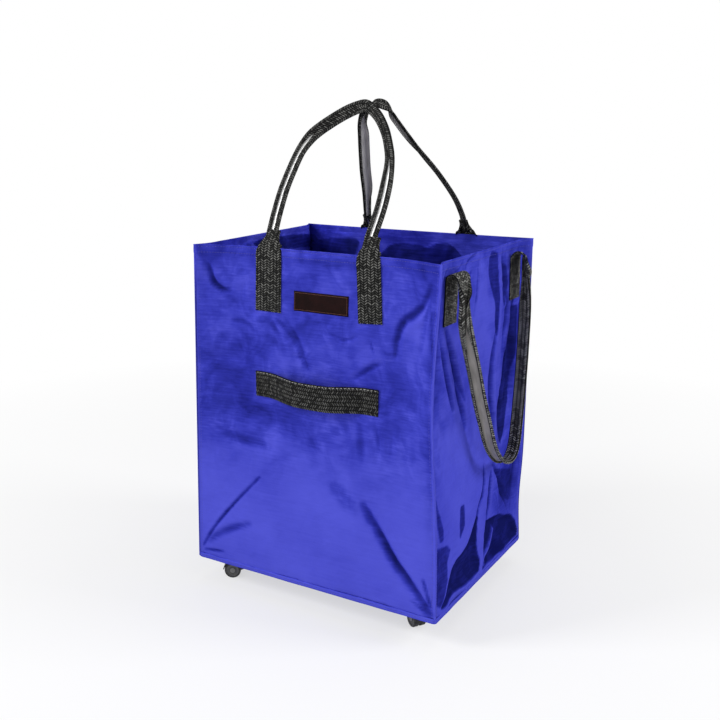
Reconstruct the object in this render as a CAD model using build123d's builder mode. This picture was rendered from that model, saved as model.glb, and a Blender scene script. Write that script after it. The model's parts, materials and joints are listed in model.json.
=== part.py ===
from build123d import *
import os
from math import asin, atan2, cos, hypot, radians, sin, tan

# Rolling tote: an open fabric box on a rigid base board, carried by four twin-wheel casters.
# Millimetres, +Z up, the front faces -Y, and the origin is on the floor under the middle of the bag.

# Bag: fabric walls that lean in between their corners towards the rim
BAG_WIDTH = 410.0
BAG_DEPTH = 316.0
BAG_HEIGHT = 502.0
FABRIC = 1.6
FRONT_BOW = 24.0
BACK_BOW = 4.0
FRONT_FLAT = 232.0
SIDE_BOW = 10.0
SIDE_FLAT = 256.0
SEAM_GAP = 0.3
BINDING_HEIGHT = 8.0
BINDING = 1.2

# Base board inside the bag
BOARD = 5.0
BOARD_GAP = 3.0

# Webbing: flat where it is sewn, folded along its length where it is held
WEBBING_WIDTH = 38.0
WEBBING = 2.0
FOLD_GAP = 0.3
BEND_SHARE = 0.45

# Carry handles, which lean in over the bag
HANDLE_SPACING = 168.0
HANDLE_TAB = 88.0
HANDLE_GRIP_WIDTH = 18.0
HANDLE_GRIP = 7.0
HANDLE_NECK = 32.0
HANDLE_RISE = 234.0
HANDLE_CROWN = 24.0
HANDLE_SHOULDER = 85.0
HANDLE_LIFT = 1.0

# Patch below the front rim
PATCH_WIDTH = 91.0
PATCH_HEIGHT = 28.5
PATCH = 1.0
PATCH_ACROSS = 9.0
PATCH_BELOW_RIM = 72.0

# Grab straps across the front and back
GRAB_LENGTH = 207.0
GRAB_SEWN = 18.0
GRAB_PROUD = 2.3
GRAB_BELOW_RIM = 201.0

# Pull straps, hung from tabs that turn over at the top
PULL_SPACING = 208.0
PULL_TAB = 62.0
PULL_BELOW_RIM = 26.0
PULL_FOLD = 9.0
PULL_OVERHANG = 12.0
PULL_GRIP_WIDTH = 20.0
PULL_GRIP = 5.0
PULL_NECK = 58.0
PULL_STRAIGHT = 38.0
PULL_WAIST = 142.0
PULL_WAIST_DROP = 198.0
PULL_TOE = 44.0
PULL_DROP = 300.0
PULL_SPLAY = 2.5

# Casters
CASTER_HEIGHT = 38.0
CASTER_INSET_X = 42.0
CASTER_INSET_Y = 38.0
TRAIL = 11.0
WHEEL_DIAMETER = 26.0
WHEEL_WIDTH = 7.4
WHEEL_EDGE = 1.6
WHEEL_RIM = 3.6
WHEEL_DISH = 1.0
HUB_DIAMETER = 8.6
WEB = 4.2
WHEEL_SIDE_GAP = 0.3
AXLE_DIAMETER = 4.0
AXLE_COVER = 1.6
RUNNING_GAP = 0.05
SEAT_GAP = 0.02
END_GAP = 0.3
HOOD = 1.6
HOOD_GAP = 0.7
HOOD_FOOT = 2.0
WEB_MARGIN = 2.0
BOSS_DIAMETER = 15.0
KINGPIN_DIAMETER = 8.0
KINGPIN_BITE = 9.0
WASHER = 1.0
WASHER_DIAMETER = 14.0
PLATE_SIZE = 40.0
PLATE = 1.6
PLATE_CORNER = 4.0

# Screws that hold the casters
SCREW_SPACING = 30.0
SCREW_DIAMETER = 4.0
SCREW_HEAD = 8.0
SCREW_HEAD_ANGLE = 90.0
SCREW_SINK = 0.2
SCREW_HOLE_GAP = 0.15
SCREW_END = 1.0
NUT_ACROSS_FLATS = 7.0
NUT = 3.2

# Which way each caster trails at rest, in degrees from +X
CASTERS = {
    "front_left": (-1, -1, -150.0),
    "front_right": (1, -1, 145.0),
    "back_left": (-1, 1, 98.0),
    "back_right": (1, 1, 76.0),
}

# Heights and places that follow from the sizes above
BAG_FOOT = CASTER_HEIGHT
WALL_FOOT = BAG_FOOT + FABRIC
RIM = BAG_FOOT + BAG_HEIGHT
WALL_RISE = RIM - WALL_FOOT
BOARD_TOP = WALL_FOOT + BOARD
PLATE_FOOT = CASTER_HEIGHT - PLATE
WASHER_FOOT = PLATE_FOOT - WASHER
HOUSING_TOP = WASHER_FOOT - END_GAP
WHEEL_RADIUS = WHEEL_DIAMETER / 2
WHEEL_INSIDE = WEB / 2 + WHEEL_SIDE_GAP
WHEEL_OUTSIDE = WHEEL_INSIDE + WHEEL_WIDTH
HOOD_INSIDE = WHEEL_RADIUS + HOOD_GAP
HOOD_OUTSIDE = HOOD_INSIDE + HOOD
HANDLE_FOLD = WEBBING + FOLD_GAP / 2
SEAM_BOW = FRONT_BOW * FABRIC / ((BAG_WIDTH - FRONT_FLAT) / 2)
SIDE_HALF = BAG_DEPTH / 2 - FABRIC - SEAM_BOW - SEAM_GAP

# Each wall's half length, distance from the middle, straight stretch of rim, draw-in and turn about +Z
WALLS = {
    "front": (BAG_WIDTH / 2, BAG_DEPTH / 2, FRONT_FLAT, FRONT_BOW, 0.0),
    "right": (SIDE_HALF, BAG_WIDTH / 2, SIDE_FLAT, SIDE_BOW, 90.0),
    "back": (BAG_WIDTH / 2, BAG_DEPTH / 2, FRONT_FLAT, BACK_BOW, 180.0),
    "left": (SIDE_HALF, BAG_WIDTH / 2, SIDE_FLAT, SIDE_BOW, 270.0),
}


def turned(vector, degrees_about_z):
    """A vector of the front wall, carried round to another wall."""
    return Vector(*vector).rotate(Axis.Z, degrees_about_z)


def wall_plane(side):
    """The outer face of a wall: x along it, y up it from its foot, z outwards."""
    _, stand, _, bow, turn = WALLS[side]
    return Plane(
        origin=turned((0, -stand, WALL_FOOT), turn),
        x_dir=turned((1, 0, 0), turn),
        z_dir=turned((0, -WALL_RISE, bow), turn),
    )


def wall_length(side):
    """Length of a wall from its foot up to the rim."""
    return hypot(WALL_RISE, WALLS[side][3])


def wall_stretches(half_length, stand, flat, bow):
    """The three straight stretches of a wall from above, each as its four corners."""
    line = [
        (-half_length, -stand),
        (-flat / 2, -stand + bow),
        (flat / 2, -stand + bow),
        (half_length, -stand),
    ]
    return [(a, b, (b[0], b[1] + FABRIC), (a[0], a[1] + FABRIC)) for a, b in zip(line, line[1:])]


def fabric_wall(side):
    """A fabric wall, straight at its foot and drawn in at its rim."""
    half_length, stand, flat, bow, turn = WALLS[side]
    foot = wall_stretches(half_length, stand, flat, 0.0)
    rim = wall_stretches(half_length, stand, flat, bow)
    with BuildPart() as wall:
        for foot_corners, rim_corners in zip(foot, rim):
            for height, corners in ((WALL_FOOT, foot_corners), (RIM, rim_corners)):
                with BuildSketch(Plane.XY.offset(height).rotated((0, 0, turn))):
                    with BuildLine():
                        Polyline(*corners, close=True)
                    make_face()
            loft(ruled=True)
    return wall


def flat_piece(plane, width, height, thickness, x, y):
    """A flat rectangle sewn on a wall, with its middle at x, y."""
    with BuildPart() as piece:
        with BuildSketch(plane):
            with Locations((x, y)):
                Rectangle(width, height)
        extrude(amount=thickness)
    return piece


def route_radii(points):
    """The largest even bend at each corner of a route."""
    runs = [Vector(*end) - Vector(*start) for start, end in zip(points, points[1:])]
    pairs = zip(runs, runs[1:])
    return [BEND_SHARE * min(a.length, b.length) / tan(radians(a.get_angle(b)) / 2) for a, b in pairs]


def strap_loop(plane, spacing, neck, grip_width, grip, route):
    """A strap whose two ends are flat, then fold to a grip past their necks and meet along the route."""
    half = spacing / 2
    with BuildPart() as loop:
        for x in (-half, half):
            for reach, width, thickness in ((0.0, WEBBING_WIDTH, WEBBING), (neck, grip_width, grip)):
                centre = plane.from_local_coords((x, reach, 0))
                with BuildSketch(Plane(origin=centre, x_dir=plane.x_dir, z_dir=plane.y_dir)):
                    Rectangle(width, thickness)
            loft(ruled=True)
        points = [(-half, neck)] + route + [(-x, y) for x, y in reversed(route)] + [(half, neck)]
        with BuildLine(plane):
            FilletPolyline(*points, radius=route_radii(points))
        start = plane.from_local_coords((-half, neck, 0))
        with BuildSketch(Plane(origin=start, x_dir=plane.x_dir, z_dir=plane.y_dir)):
            Rectangle(grip_width, grip)
        sweep()
    return loop


def handle_axis(side):
    """The line on which a carry handle folds, just outside its tabs and above the rim."""
    return wall_plane(side).from_local_coords((0, wall_length(side) + HANDLE_LIFT, HANDLE_FOLD))


def handle_lean():
    """How far the handles lean in from upright: the front one's crown ends at the middle of the bag."""
    axis = handle_axis("front")
    reach = HANDLE_RISE + HANDLE_GRIP_WIDTH / 2
    inner = WEBBING / 2 + HANDLE_GRIP / 2
    run = hypot(axis.X, axis.Y) - FOLD_GAP / 2
    return asin(run / hypot(reach, inner)) - atan2(inner, reach)


def handle_plane(side):
    """The plane of a leaning handle: x along the rim, y up the handle, z up and outwards."""
    turn = WALLS[side][4]
    lean = handle_lean()
    return Plane(
        origin=handle_axis(side),
        x_dir=turned((1, 0, 0), turn),
        z_dir=turned((0, -cos(lean), sin(lean)), turn),
    )


def handle_tab(side, x):
    """A sewn tab whose top is rounded about the line on which the handle folds."""
    plane = wall_plane(side)
    top = wall_length(side) + HANDLE_LIFT
    section = Plane(
        origin=plane.from_local_coords((x + WEBBING_WIDTH / 2, 0, 0)),
        x_dir=plane.z_dir,
        z_dir=-plane.x_dir,
    )
    crest = top + (HANDLE_FOLD**2 - (FOLD_GAP / 2) ** 2) ** 0.5
    foot = wall_length(side) - HANDLE_TAB
    with BuildPart() as tab:
        with BuildSketch(section):
            with BuildLine():
                Polyline((0, top), (0, foot), (WEBBING, foot), (WEBBING, crest))
                RadiusArc((0, top), (WEBBING, crest), HANDLE_FOLD)
            make_face()
        extrude(amount=WEBBING_WIDTH)
    return tab


def carry_handle(side):
    """A handle loop, hollowed at its ends where it rolls on the tops of its tabs."""
    plane = handle_plane(side)
    crown = (-HANDLE_CROWN / 2, HANDLE_RISE)
    shoulder = (-HANDLE_SPACING / 2, HANDLE_RISE - HANDLE_SHOULDER)
    layer = plane.offset(-WEBBING / 2)
    loop = strap_loop(layer, HANDLE_SPACING, HANDLE_NECK, HANDLE_GRIP_WIDTH, HANDLE_GRIP, [shoulder, crown])
    across = Plane(origin=plane.origin, z_dir=plane.x_dir)
    with BuildPart() as handle:
        add(loop.part)
        with BuildSketch(across.offset(-BAG_WIDTH / 2)):
            Circle(HANDLE_FOLD + FOLD_GAP)
        extrude(amount=BAG_WIDTH, mode=Mode.SUBTRACT)
    return handle


def grab_bulge(side, level):
    """How far a grab strap stands off its wall, to reach just past the wall's foot."""
    lean = atan2(WALLS[side][3], WALL_RISE)
    return (GRAB_PROUD + level * sin(lean)) / cos(lean) - WEBBING


def grab_strap(side):
    """A strap sewn flat at both ends, which stands off the wall between them."""
    plane = wall_plane(side)
    level = wall_length(side) - GRAB_BELOW_RIM - WEBBING_WIDTH / 2
    bulge = grab_bulge(side, level)
    section = Plane(
        origin=plane.from_local_coords((0, level, 0)),
        x_dir=plane.x_dir,
        z_dir=-plane.y_dir,
    )
    end = GRAB_LENGTH / 2
    free = end - GRAB_SEWN
    with BuildPart() as strap:
        with BuildSketch(section):
            with BuildLine():
                Polyline((-free, 0), (-end, 0), (-end, WEBBING), (-free, WEBBING))
                ThreePointArc((-free, WEBBING), (0, WEBBING + bulge), (free, WEBBING))
                Polyline((free, WEBBING), (end, WEBBING), (end, 0), (free, 0))
                ThreePointArc((free, 0), (0, bulge), (-free, 0))
            make_face()
        extrude(amount=-WEBBING_WIDTH)
    return strap


def pull_fold(side):
    """Height up the wall of the line on which a pull strap swings."""
    return wall_length(side) - PULL_BELOW_RIM


def pull_tab(side, x):
    """A sewn tab that turns over outwards at its top."""
    plane = wall_plane(side)
    section = Plane(
        origin=plane.from_local_coords((x + WEBBING_WIDTH / 2, 0, 0)),
        x_dir=plane.z_dir,
        z_dir=-plane.x_dir,
    )
    top = pull_fold(side)
    foot = top - PULL_TAB
    past = radians(PULL_OVERHANG)
    inner = PULL_FOLD - WEBBING
    tip_inside = (PULL_FOLD + inner * cos(past), top - inner * sin(past))
    tip_outside = (PULL_FOLD + PULL_FOLD * cos(past), top - PULL_FOLD * sin(past))
    with BuildPart() as tab:
        with BuildSketch(section):
            with BuildLine():
                Polyline((0, top), (0, foot), (WEBBING, foot), (WEBBING, top))
                ThreePointArc((WEBBING, top), (PULL_FOLD, top + inner), tip_inside)
                Line(tip_inside, tip_outside)
                ThreePointArc(tip_outside, (PULL_FOLD, top + PULL_FOLD), (0, top))
            make_face()
        extrude(amount=WEBBING_WIDTH)
    return tab


def pull_strap(side):
    """A pull strap that hangs outside the turned-over ends of its tabs."""
    turn = WALLS[side][4]
    axis = wall_plane(side).from_local_coords((0, pull_fold(side), PULL_FOLD))
    splay = radians(PULL_SPLAY)
    hang = Plane(
        origin=axis,
        x_dir=turned((-1, 0, 0), turn),
        z_dir=turned((0, -cos(splay), sin(splay)), turn),
    )
    layer = hang.offset(PULL_FOLD + FOLD_GAP + WEBBING / 2)
    route = [
        (-PULL_SPACING / 2, PULL_NECK + PULL_STRAIGHT),
        (-PULL_WAIST / 2, PULL_WAIST_DROP),
        (-PULL_TOE / 2, PULL_DROP),
    ]
    return strap_loop(layer, PULL_SPACING, PULL_NECK, PULL_GRIP_WIDTH, PULL_GRIP, route)


def corner_place(name):
    """Where a caster's kingpin stands, and which way the caster trails."""
    across, along, heading = CASTERS[name]
    x = across * (BAG_WIDTH / 2 - CASTER_INSET_X)
    y = along * (BAG_DEPTH / 2 - CASTER_INSET_Y)
    return Location((x, y, 0), (0, 0, heading))


def screw_places(height):
    """The screws of all four casters, at one height."""
    places = []
    for name in CASTERS:
        middle = corner_place(name).position
        for x in (-SCREW_SPACING / 2, SCREW_SPACING / 2):
            for y in (-SCREW_SPACING / 2, SCREW_SPACING / 2):
                places.append((middle.X + x, middle.Y + y, height))
    return places


def placed(shape, place):
    """A copy of a piece at a place."""
    with BuildPart() as copy:
        with Locations(place):
            add(shape)
    return copy


pieces = {}

# Fabric walls, floor and the binding of the bottom seam
for side in WALLS:
    pieces[f"{side}_panel"] = fabric_wall(side)

with BuildPart() as bottom_panel:
    with BuildSketch(Plane.XY.offset(BAG_FOOT)):
        Rectangle(BAG_WIDTH, BAG_DEPTH)
    extrude(amount=FABRIC)
    with Locations(screw_places(WALL_FOOT)):
        Hole(SCREW_DIAMETER / 2 + SCREW_HOLE_GAP)
pieces["bottom_panel"] = bottom_panel

with BuildPart() as bottom_binding:
    with BuildSketch(Plane.XY.offset(BAG_FOOT)):
        Rectangle(BAG_WIDTH + 2 * BINDING, BAG_DEPTH + 2 * BINDING)
        Rectangle(BAG_WIDTH, BAG_DEPTH, mode=Mode.SUBTRACT)
    extrude(amount=BINDING_HEIGHT)
pieces["bottom_binding"] = bottom_binding

with BuildPart() as base_board:
    clear = 2 * (FABRIC + BOARD_GAP)
    with BuildSketch(Plane.XY.offset(WALL_FOOT)):
        Rectangle(BAG_WIDTH - clear, BAG_DEPTH - clear)
    extrude(amount=BOARD)
    with Locations(screw_places(BOARD_TOP)):
        CounterSinkHole(
            radius=SCREW_DIAMETER / 2 + SCREW_HOLE_GAP,
            counter_sink_radius=SCREW_HEAD / 2 + SCREW_SINK + SCREW_HOLE_GAP,
            counter_sink_angle=SCREW_HEAD_ANGLE,
        )
pieces["base_board"] = base_board

# Carry handles, grab straps and the patch
for side in ("front", "back"):
    for hand, x in (("left", -HANDLE_SPACING / 2), ("right", HANDLE_SPACING / 2)):
        pieces[f"{side}_handle_tab_{hand}"] = handle_tab(side, x)
    pieces[f"{side}_handle"] = carry_handle(side)
    pieces[f"{side}_grab_strap"] = grab_strap(side)
patch_plane = wall_plane("front")
patch_level = wall_length("front") - PATCH_BELOW_RIM
pieces["front_patch"] = flat_piece(patch_plane, PATCH_WIDTH, PATCH_HEIGHT, PATCH, PATCH_ACROSS, patch_level)

# Pull straps
for side in ("right", "left"):
    ends = ("front", "back") if side == "right" else ("back", "front")
    for end, x in zip(ends, (-PULL_SPACING / 2, PULL_SPACING / 2)):
        pieces[f"{side}_pull_tab_{end}"] = pull_tab(side, x)
    pieces[f"{side}_pull_strap"] = pull_strap(side)

# One caster, with its kingpin over the origin and its axle behind it along +X
with BuildPart() as plate:
    with BuildSketch(Plane.XY.offset(PLATE_FOOT)):
        RectangleRounded(PLATE_SIZE, PLATE_SIZE, PLATE_CORNER)
        Circle(KINGPIN_DIAMETER / 2 + SEAT_GAP, mode=Mode.SUBTRACT)
        with GridLocations(SCREW_SPACING, SCREW_SPACING, 2, 2):
            Circle(SCREW_DIAMETER / 2 + SCREW_HOLE_GAP, mode=Mode.SUBTRACT)
    extrude(amount=PLATE)

with BuildPart() as kingpin:
    with BuildSketch(Plane.XY.offset(HOUSING_TOP - KINGPIN_BITE)):
        Circle(KINGPIN_DIAMETER / 2)
    extrude(amount=CASTER_HEIGHT - HOUSING_TOP + KINGPIN_BITE)

with BuildPart() as washer:
    with BuildSketch(Plane.XY.offset(WASHER_FOOT)):
        Circle(WASHER_DIAMETER / 2)
        Circle(KINGPIN_DIAMETER / 2 + RUNNING_GAP, mode=Mode.SUBTRACT)
    extrude(amount=WASHER)

axle_plane = Plane(origin=(TRAIL, 0, WHEEL_RADIUS), x_dir=(1, 0, 0), z_dir=(0, 1, 0))

with BuildPart() as housing:
    with BuildSketch(axle_plane):
        Circle(WHEEL_RADIUS - WEB_MARGIN)
    extrude(amount=WEB / 2, both=True)
    with BuildSketch(axle_plane):
        Circle(HOOD_OUTSIDE)
        with Locations((0, WHEEL_RADIUS - HOOD_FOOT)):
            Rectangle(2 * WHEEL_DIAMETER, WHEEL_DIAMETER, mode=Mode.SUBTRACT)
    extrude(amount=WHEEL_OUTSIDE, both=True)
    with BuildSketch(Plane.XY.offset(WHEEL_RADIUS)):
        Circle(BOSS_DIAMETER / 2)
    extrude(amount=HOUSING_TOP - WHEEL_RADIUS)
    for way in (1, -1):
        with BuildSketch(axle_plane.offset(way * WEB / 2)):
            Circle(HOOD_INSIDE)
        extrude(amount=way * 2 * WHEEL_WIDTH, mode=Mode.SUBTRACT)
    with BuildSketch(axle_plane):
        Circle(AXLE_DIAMETER / 2 + SEAT_GAP)
    extrude(amount=WEB, both=True, mode=Mode.SUBTRACT)
    with BuildSketch(Plane.XY.offset(HOUSING_TOP)):
        Circle(KINGPIN_DIAMETER / 2 + RUNNING_GAP)
    extrude(amount=-KINGPIN_BITE - END_GAP, mode=Mode.SUBTRACT)

with BuildPart() as axle:
    with BuildSketch(axle_plane):
        Circle(AXLE_DIAMETER / 2)
    extrude(amount=WHEEL_OUTSIDE - AXLE_COVER - END_GAP, both=True)

with BuildPart() as left_wheel:
    bore = AXLE_DIAMETER / 2 + RUNNING_GAP
    dish = WHEEL_OUTSIDE - WHEEL_DISH
    with BuildSketch(Plane(origin=(TRAIL, 0, WHEEL_RADIUS), x_dir=(1, 0, 0), z_dir=(0, 0, 1))):
        with BuildLine():
            Polyline(
                (0, WHEEL_OUTSIDE - AXLE_COVER),
                (0, WHEEL_OUTSIDE),
                (HUB_DIAMETER / 2, WHEEL_OUTSIDE),
                (HUB_DIAMETER / 2, dish),
                (WHEEL_RADIUS - WHEEL_RIM, dish),
                (WHEEL_RADIUS - WHEEL_RIM, WHEEL_OUTSIDE),
                (WHEEL_RADIUS - WHEEL_EDGE, WHEEL_OUTSIDE),
            )
            RadiusArc(
                (WHEEL_RADIUS - WHEEL_EDGE, WHEEL_OUTSIDE),
                (WHEEL_RADIUS, WHEEL_OUTSIDE - WHEEL_EDGE),
                WHEEL_EDGE,
            )
            Polyline(
                (WHEEL_RADIUS, WHEEL_OUTSIDE - WHEEL_EDGE),
                (WHEEL_RADIUS, WHEEL_INSIDE),
                (bore, WHEEL_INSIDE),
                (bore, WHEEL_OUTSIDE - AXLE_COVER),
                (0, WHEEL_OUTSIDE - AXLE_COVER),
            )
        make_face()
    revolve(axis=Axis((TRAIL, 0, WHEEL_RADIUS), (0, 1, 0)))

with BuildPart() as right_wheel:
    mirror(left_wheel.part, about=Plane.XZ)

for corner in CASTERS:
    place = corner_place(corner)
    pieces[f"{corner}_caster_plate"] = placed(plate.part, Location(place.position))
    pieces[f"{corner}_kingpin"] = placed(kingpin.part, place)
    pieces[f"{corner}_thrust_washer"] = placed(washer.part, place)
    pieces[f"{corner}_swivel_housing"] = placed(housing.part, place)
    pieces[f"{corner}_axle"] = placed(axle.part, place)
    pieces[f"{corner}_wheel_a"] = placed(left_wheel.part, place)
    pieces[f"{corner}_wheel_b"] = placed(right_wheel.part, place)

# Countersunk screws from inside the bag, with their nuts under the caster plates
with BuildPart() as caster_screws:
    head_top = BOARD_TOP - SCREW_SINK
    head_depth = (SCREW_HEAD - SCREW_DIAMETER) / 2 / tan(radians(SCREW_HEAD_ANGLE / 2))
    tip = PLATE_FOOT - NUT - SCREW_END
    with Locations(screw_places(head_top)):
        Cone(
            SCREW_DIAMETER / 2,
            SCREW_HEAD / 2,
            head_depth,
            align=(Align.CENTER, Align.CENTER, Align.MAX),
        )
        Cylinder(
            SCREW_DIAMETER / 2,
            head_top - tip,
            align=(Align.CENTER, Align.CENTER, Align.MAX),
        )
pieces["caster_screws"] = caster_screws

with BuildPart() as caster_nuts:
    with BuildSketch(Plane.XY.offset(PLATE_FOOT)):
        with Locations([(x, y) for x, y, _ in screw_places(0)]):
            RegularPolygon(NUT_ACROSS_FLATS / 2, 6, major_radius=False)
            Circle(SCREW_DIAMETER / 2 + SEAT_GAP, mode=Mode.SUBTRACT)
    extrude(amount=-NUT)
pieces["caster_nuts"] = caster_nuts

os.makedirs("parts", exist_ok=True)
for name, piece in pieces.items():
    piece.part.label = name
    export_step(piece.part, f"parts/{name}.step")
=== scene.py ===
"""A soft rolling tote dressed for its portrait. Sizes are in millimetres until a mesh is made."""
import json
import math

import bpy
import numpy as np
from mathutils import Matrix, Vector


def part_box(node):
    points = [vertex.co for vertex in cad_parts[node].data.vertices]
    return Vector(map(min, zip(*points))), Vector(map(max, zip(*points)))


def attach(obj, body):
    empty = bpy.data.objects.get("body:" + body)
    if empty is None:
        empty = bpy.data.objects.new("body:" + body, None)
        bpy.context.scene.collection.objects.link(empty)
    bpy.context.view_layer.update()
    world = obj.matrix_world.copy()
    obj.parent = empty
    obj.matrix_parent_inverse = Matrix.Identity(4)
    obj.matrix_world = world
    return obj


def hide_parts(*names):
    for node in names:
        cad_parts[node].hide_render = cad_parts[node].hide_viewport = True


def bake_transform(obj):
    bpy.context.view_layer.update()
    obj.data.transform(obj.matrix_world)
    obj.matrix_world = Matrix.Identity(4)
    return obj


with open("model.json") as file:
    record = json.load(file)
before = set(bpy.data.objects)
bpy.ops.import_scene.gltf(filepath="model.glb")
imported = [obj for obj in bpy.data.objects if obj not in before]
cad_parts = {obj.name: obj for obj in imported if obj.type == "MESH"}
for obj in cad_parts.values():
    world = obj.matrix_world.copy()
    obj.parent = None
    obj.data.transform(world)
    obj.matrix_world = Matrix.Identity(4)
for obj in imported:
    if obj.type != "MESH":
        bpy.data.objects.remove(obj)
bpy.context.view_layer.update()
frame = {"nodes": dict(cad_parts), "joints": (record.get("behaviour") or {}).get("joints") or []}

MM = 0.001
ACROSS = np.array([1.0, 0.0, 0.0])
DEEP = np.array([0.0, 1.0, 0.0])
UP = np.array([0.0, 0.0, 1.0])


def box_of(node):
    """A node's lowest and highest corners in millimetres."""
    low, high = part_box(node)
    return np.array(low) / MM, np.array(high) / MM


# Bag
HALF_WIDTH = 205.0
HALF_DEPTH = 158.0
PANEL = 1.6
BAG_FOOT = box_of("bottom_binding")[0][2]
WALL_FOOT = BAG_FOOT + PANEL
RIM = box_of("left_panel")[1][2]
WALL_RISE = RIM - WALL_FOOT
CLOTH = 1.3
CLOTH_STEP = {"front": 2.6, "back": 2.6, "right": 2.0, "left": 2.0}
HEM = 13.0
HEM_LIFT = 0.6
HEM_EDGE = 0.8
HEM_ROWS = (3.0, 11.5)

# Webbing
WEBBING = 1.5
WEBBING_WIDTH = 38.0
WEBBING_FACE = WEBBING / 2 + 0.1
TAB_STAND = 1.0
HANDLE_TAB = 92.0
HANDLE_LEAN = math.radians(32.95)
PULL_PLACES = (-106.0, 115.0)
PULL_TAB = 62.0
PULL_BELOW_RIM = 26.0
GRAB_HALF = 103.5
GRAB_BELOW_RIM = 201.0
GRAB_ACROSS = {"front": 2.0, "back": 0.0}
# Each handle tab's place across the bag at its sewn end and at the rim, and its width
TAB_PLACES = {
    "front": {-1: (-80.5, -80.0), 1: (89.5, 84.0)},
    "back": {-1: (-78.0, -78.0), 1: (97.0, 97.0)},
}
TAB_WIDTHS = {"front": {-1: 43.0, 1: 36.5}, "back": {-1: 38.0, 1: 38.0}}

# Patch
PATCH_ACROSS = 9.0
PATCH_BELOW_RIM = 72.0
PATCH_WIDTH = 90.5
PATCH_HEIGHT = 28.3
PATCH_THICK = 1.1

hinge_at = {j["name"]: np.array(j["pos_m"]) / MM for j in frame["joints"]}


def smooth(low, high, value):
    """Eases from 0 at low to 1 at high."""
    t = np.clip((value - low) / (high - low), 0.0, 1.0)
    return t * t * (3.0 - 2.0 * t)


def stretch(value, rise_from, rise_to, fall_from, fall_to):
    """Eases from 0 up to 1 and back to 0."""
    return smooth(rise_from, rise_to, value) * (1 - smooth(fall_from, fall_to, value))


def bell(offset, reach):
    """A soft hump of height 1 that dies away beyond its reach."""
    return np.exp(-((offset / reach) ** 2))


def drift(x, y, seed):
    """Smooth noise from -1 to 1, one cell per unit."""
    side = 64
    lattice = np.random.default_rng(seed).uniform(-1.0, 1.0, (side, side))
    column, row = np.floor(x).astype(int), np.floor(y).astype(int)
    a, b = smooth(0.0, 1.0, x - column), smooth(0.0, 1.0, y - row)

    def corner(i, j):
        return lattice[(column + i) % side, (row + j) % side]

    near = corner(0, 0) * (1 - a) + corner(1, 0) * a
    far = corner(0, 1) * (1 - a) + corner(1, 1) * a
    return near * (1 - b) + far * b


def units(vectors):
    """Vectors brought to length 1."""
    return vectors / np.linalg.norm(vectors, axis=1)[:, None]


def length_along(path):
    """Distance from the start at each point of a path."""
    steps = np.linalg.norm(np.diff(path, axis=0), axis=1)
    return np.concatenate([[0.0], np.cumsum(steps)])


def even_points(line, count, ring=False):
    """Even points along a line of points; a ring stops short of its start."""
    run = length_along(line)
    even = np.linspace(0.0, run[-1], count, endpoint=not ring)
    return np.stack([np.interp(even, run, line[:, k]) for k in range(line.shape[1])], axis=1)


def curve_through(points, count):
    """Even points along a smooth line through the given ones."""
    points = np.array(points, float)
    padded = np.vstack([2 * points[0] - points[1], points, 2 * points[-1] - points[-2]])
    fine = []
    for p0, p1, p2, p3 in zip(padded, padded[1:], padded[2:], padded[3:]):
        square = 2 * p0 - 5 * p1 + 4 * p2 - p3
        cube = 3 * p1 - p0 - 3 * p2 + p3
        for t in np.linspace(0.0, 1.0, 40, endpoint=False):
            fine.append(p1 + 0.5 * ((p2 - p0) * t + square * t**2 + cube * t**3))
    return even_points(np.array(fine + [points[-1]]), count)


def along_sides(corners, steps):
    """Points along a line through corners, evenly divided between each two."""
    fine = []
    for a, b in zip(corners, corners[1:]):
        fine.extend(a + (b - a) * t for t in np.linspace(0.0, 1.0, steps, endpoint=False))
    return np.array(fine + [corners[-1]])


# Materials


class Nodes:
    """The nodes of a material or of the world, under construction."""

    def __init__(self, owner):
        owner.use_nodes = True
        self.tree = owner.node_tree

    def node(self, kind, **settings):
        made = self.tree.nodes.new(kind)
        for key, value in settings.items():
            setattr(made, key, value)
        return made

    def join(self, source, target):
        self.tree.links.new(source, target)

    def math(self, operation, a, b=None):
        made = self.node("ShaderNodeMath", operation=operation)
        for socket, value in zip(made.inputs, (a, b)):
            if value is None:
                continue
            if isinstance(value, (int, float)):
                socket.default_value = value
            else:
                self.join(value, socket)
        return made.outputs["Value"]

    def times(self, a, b):
        return self.math("MULTIPLY", a, b)

    def plus(self, a, b):
        return self.math("ADD", a, b)

    def grade(self, factor, low, high, start=0.0, end=1.0):
        """Low where the factor is at its start, high where it is at its end."""
        made = self.node("ShaderNodeMapRange")
        for key, value in (("From Min", start), ("From Max", end), ("To Min", low), ("To Max", high)):
            made.inputs[key].default_value = value
        self.join(factor, made.inputs["Value"])
        return made.outputs["Result"]


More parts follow.
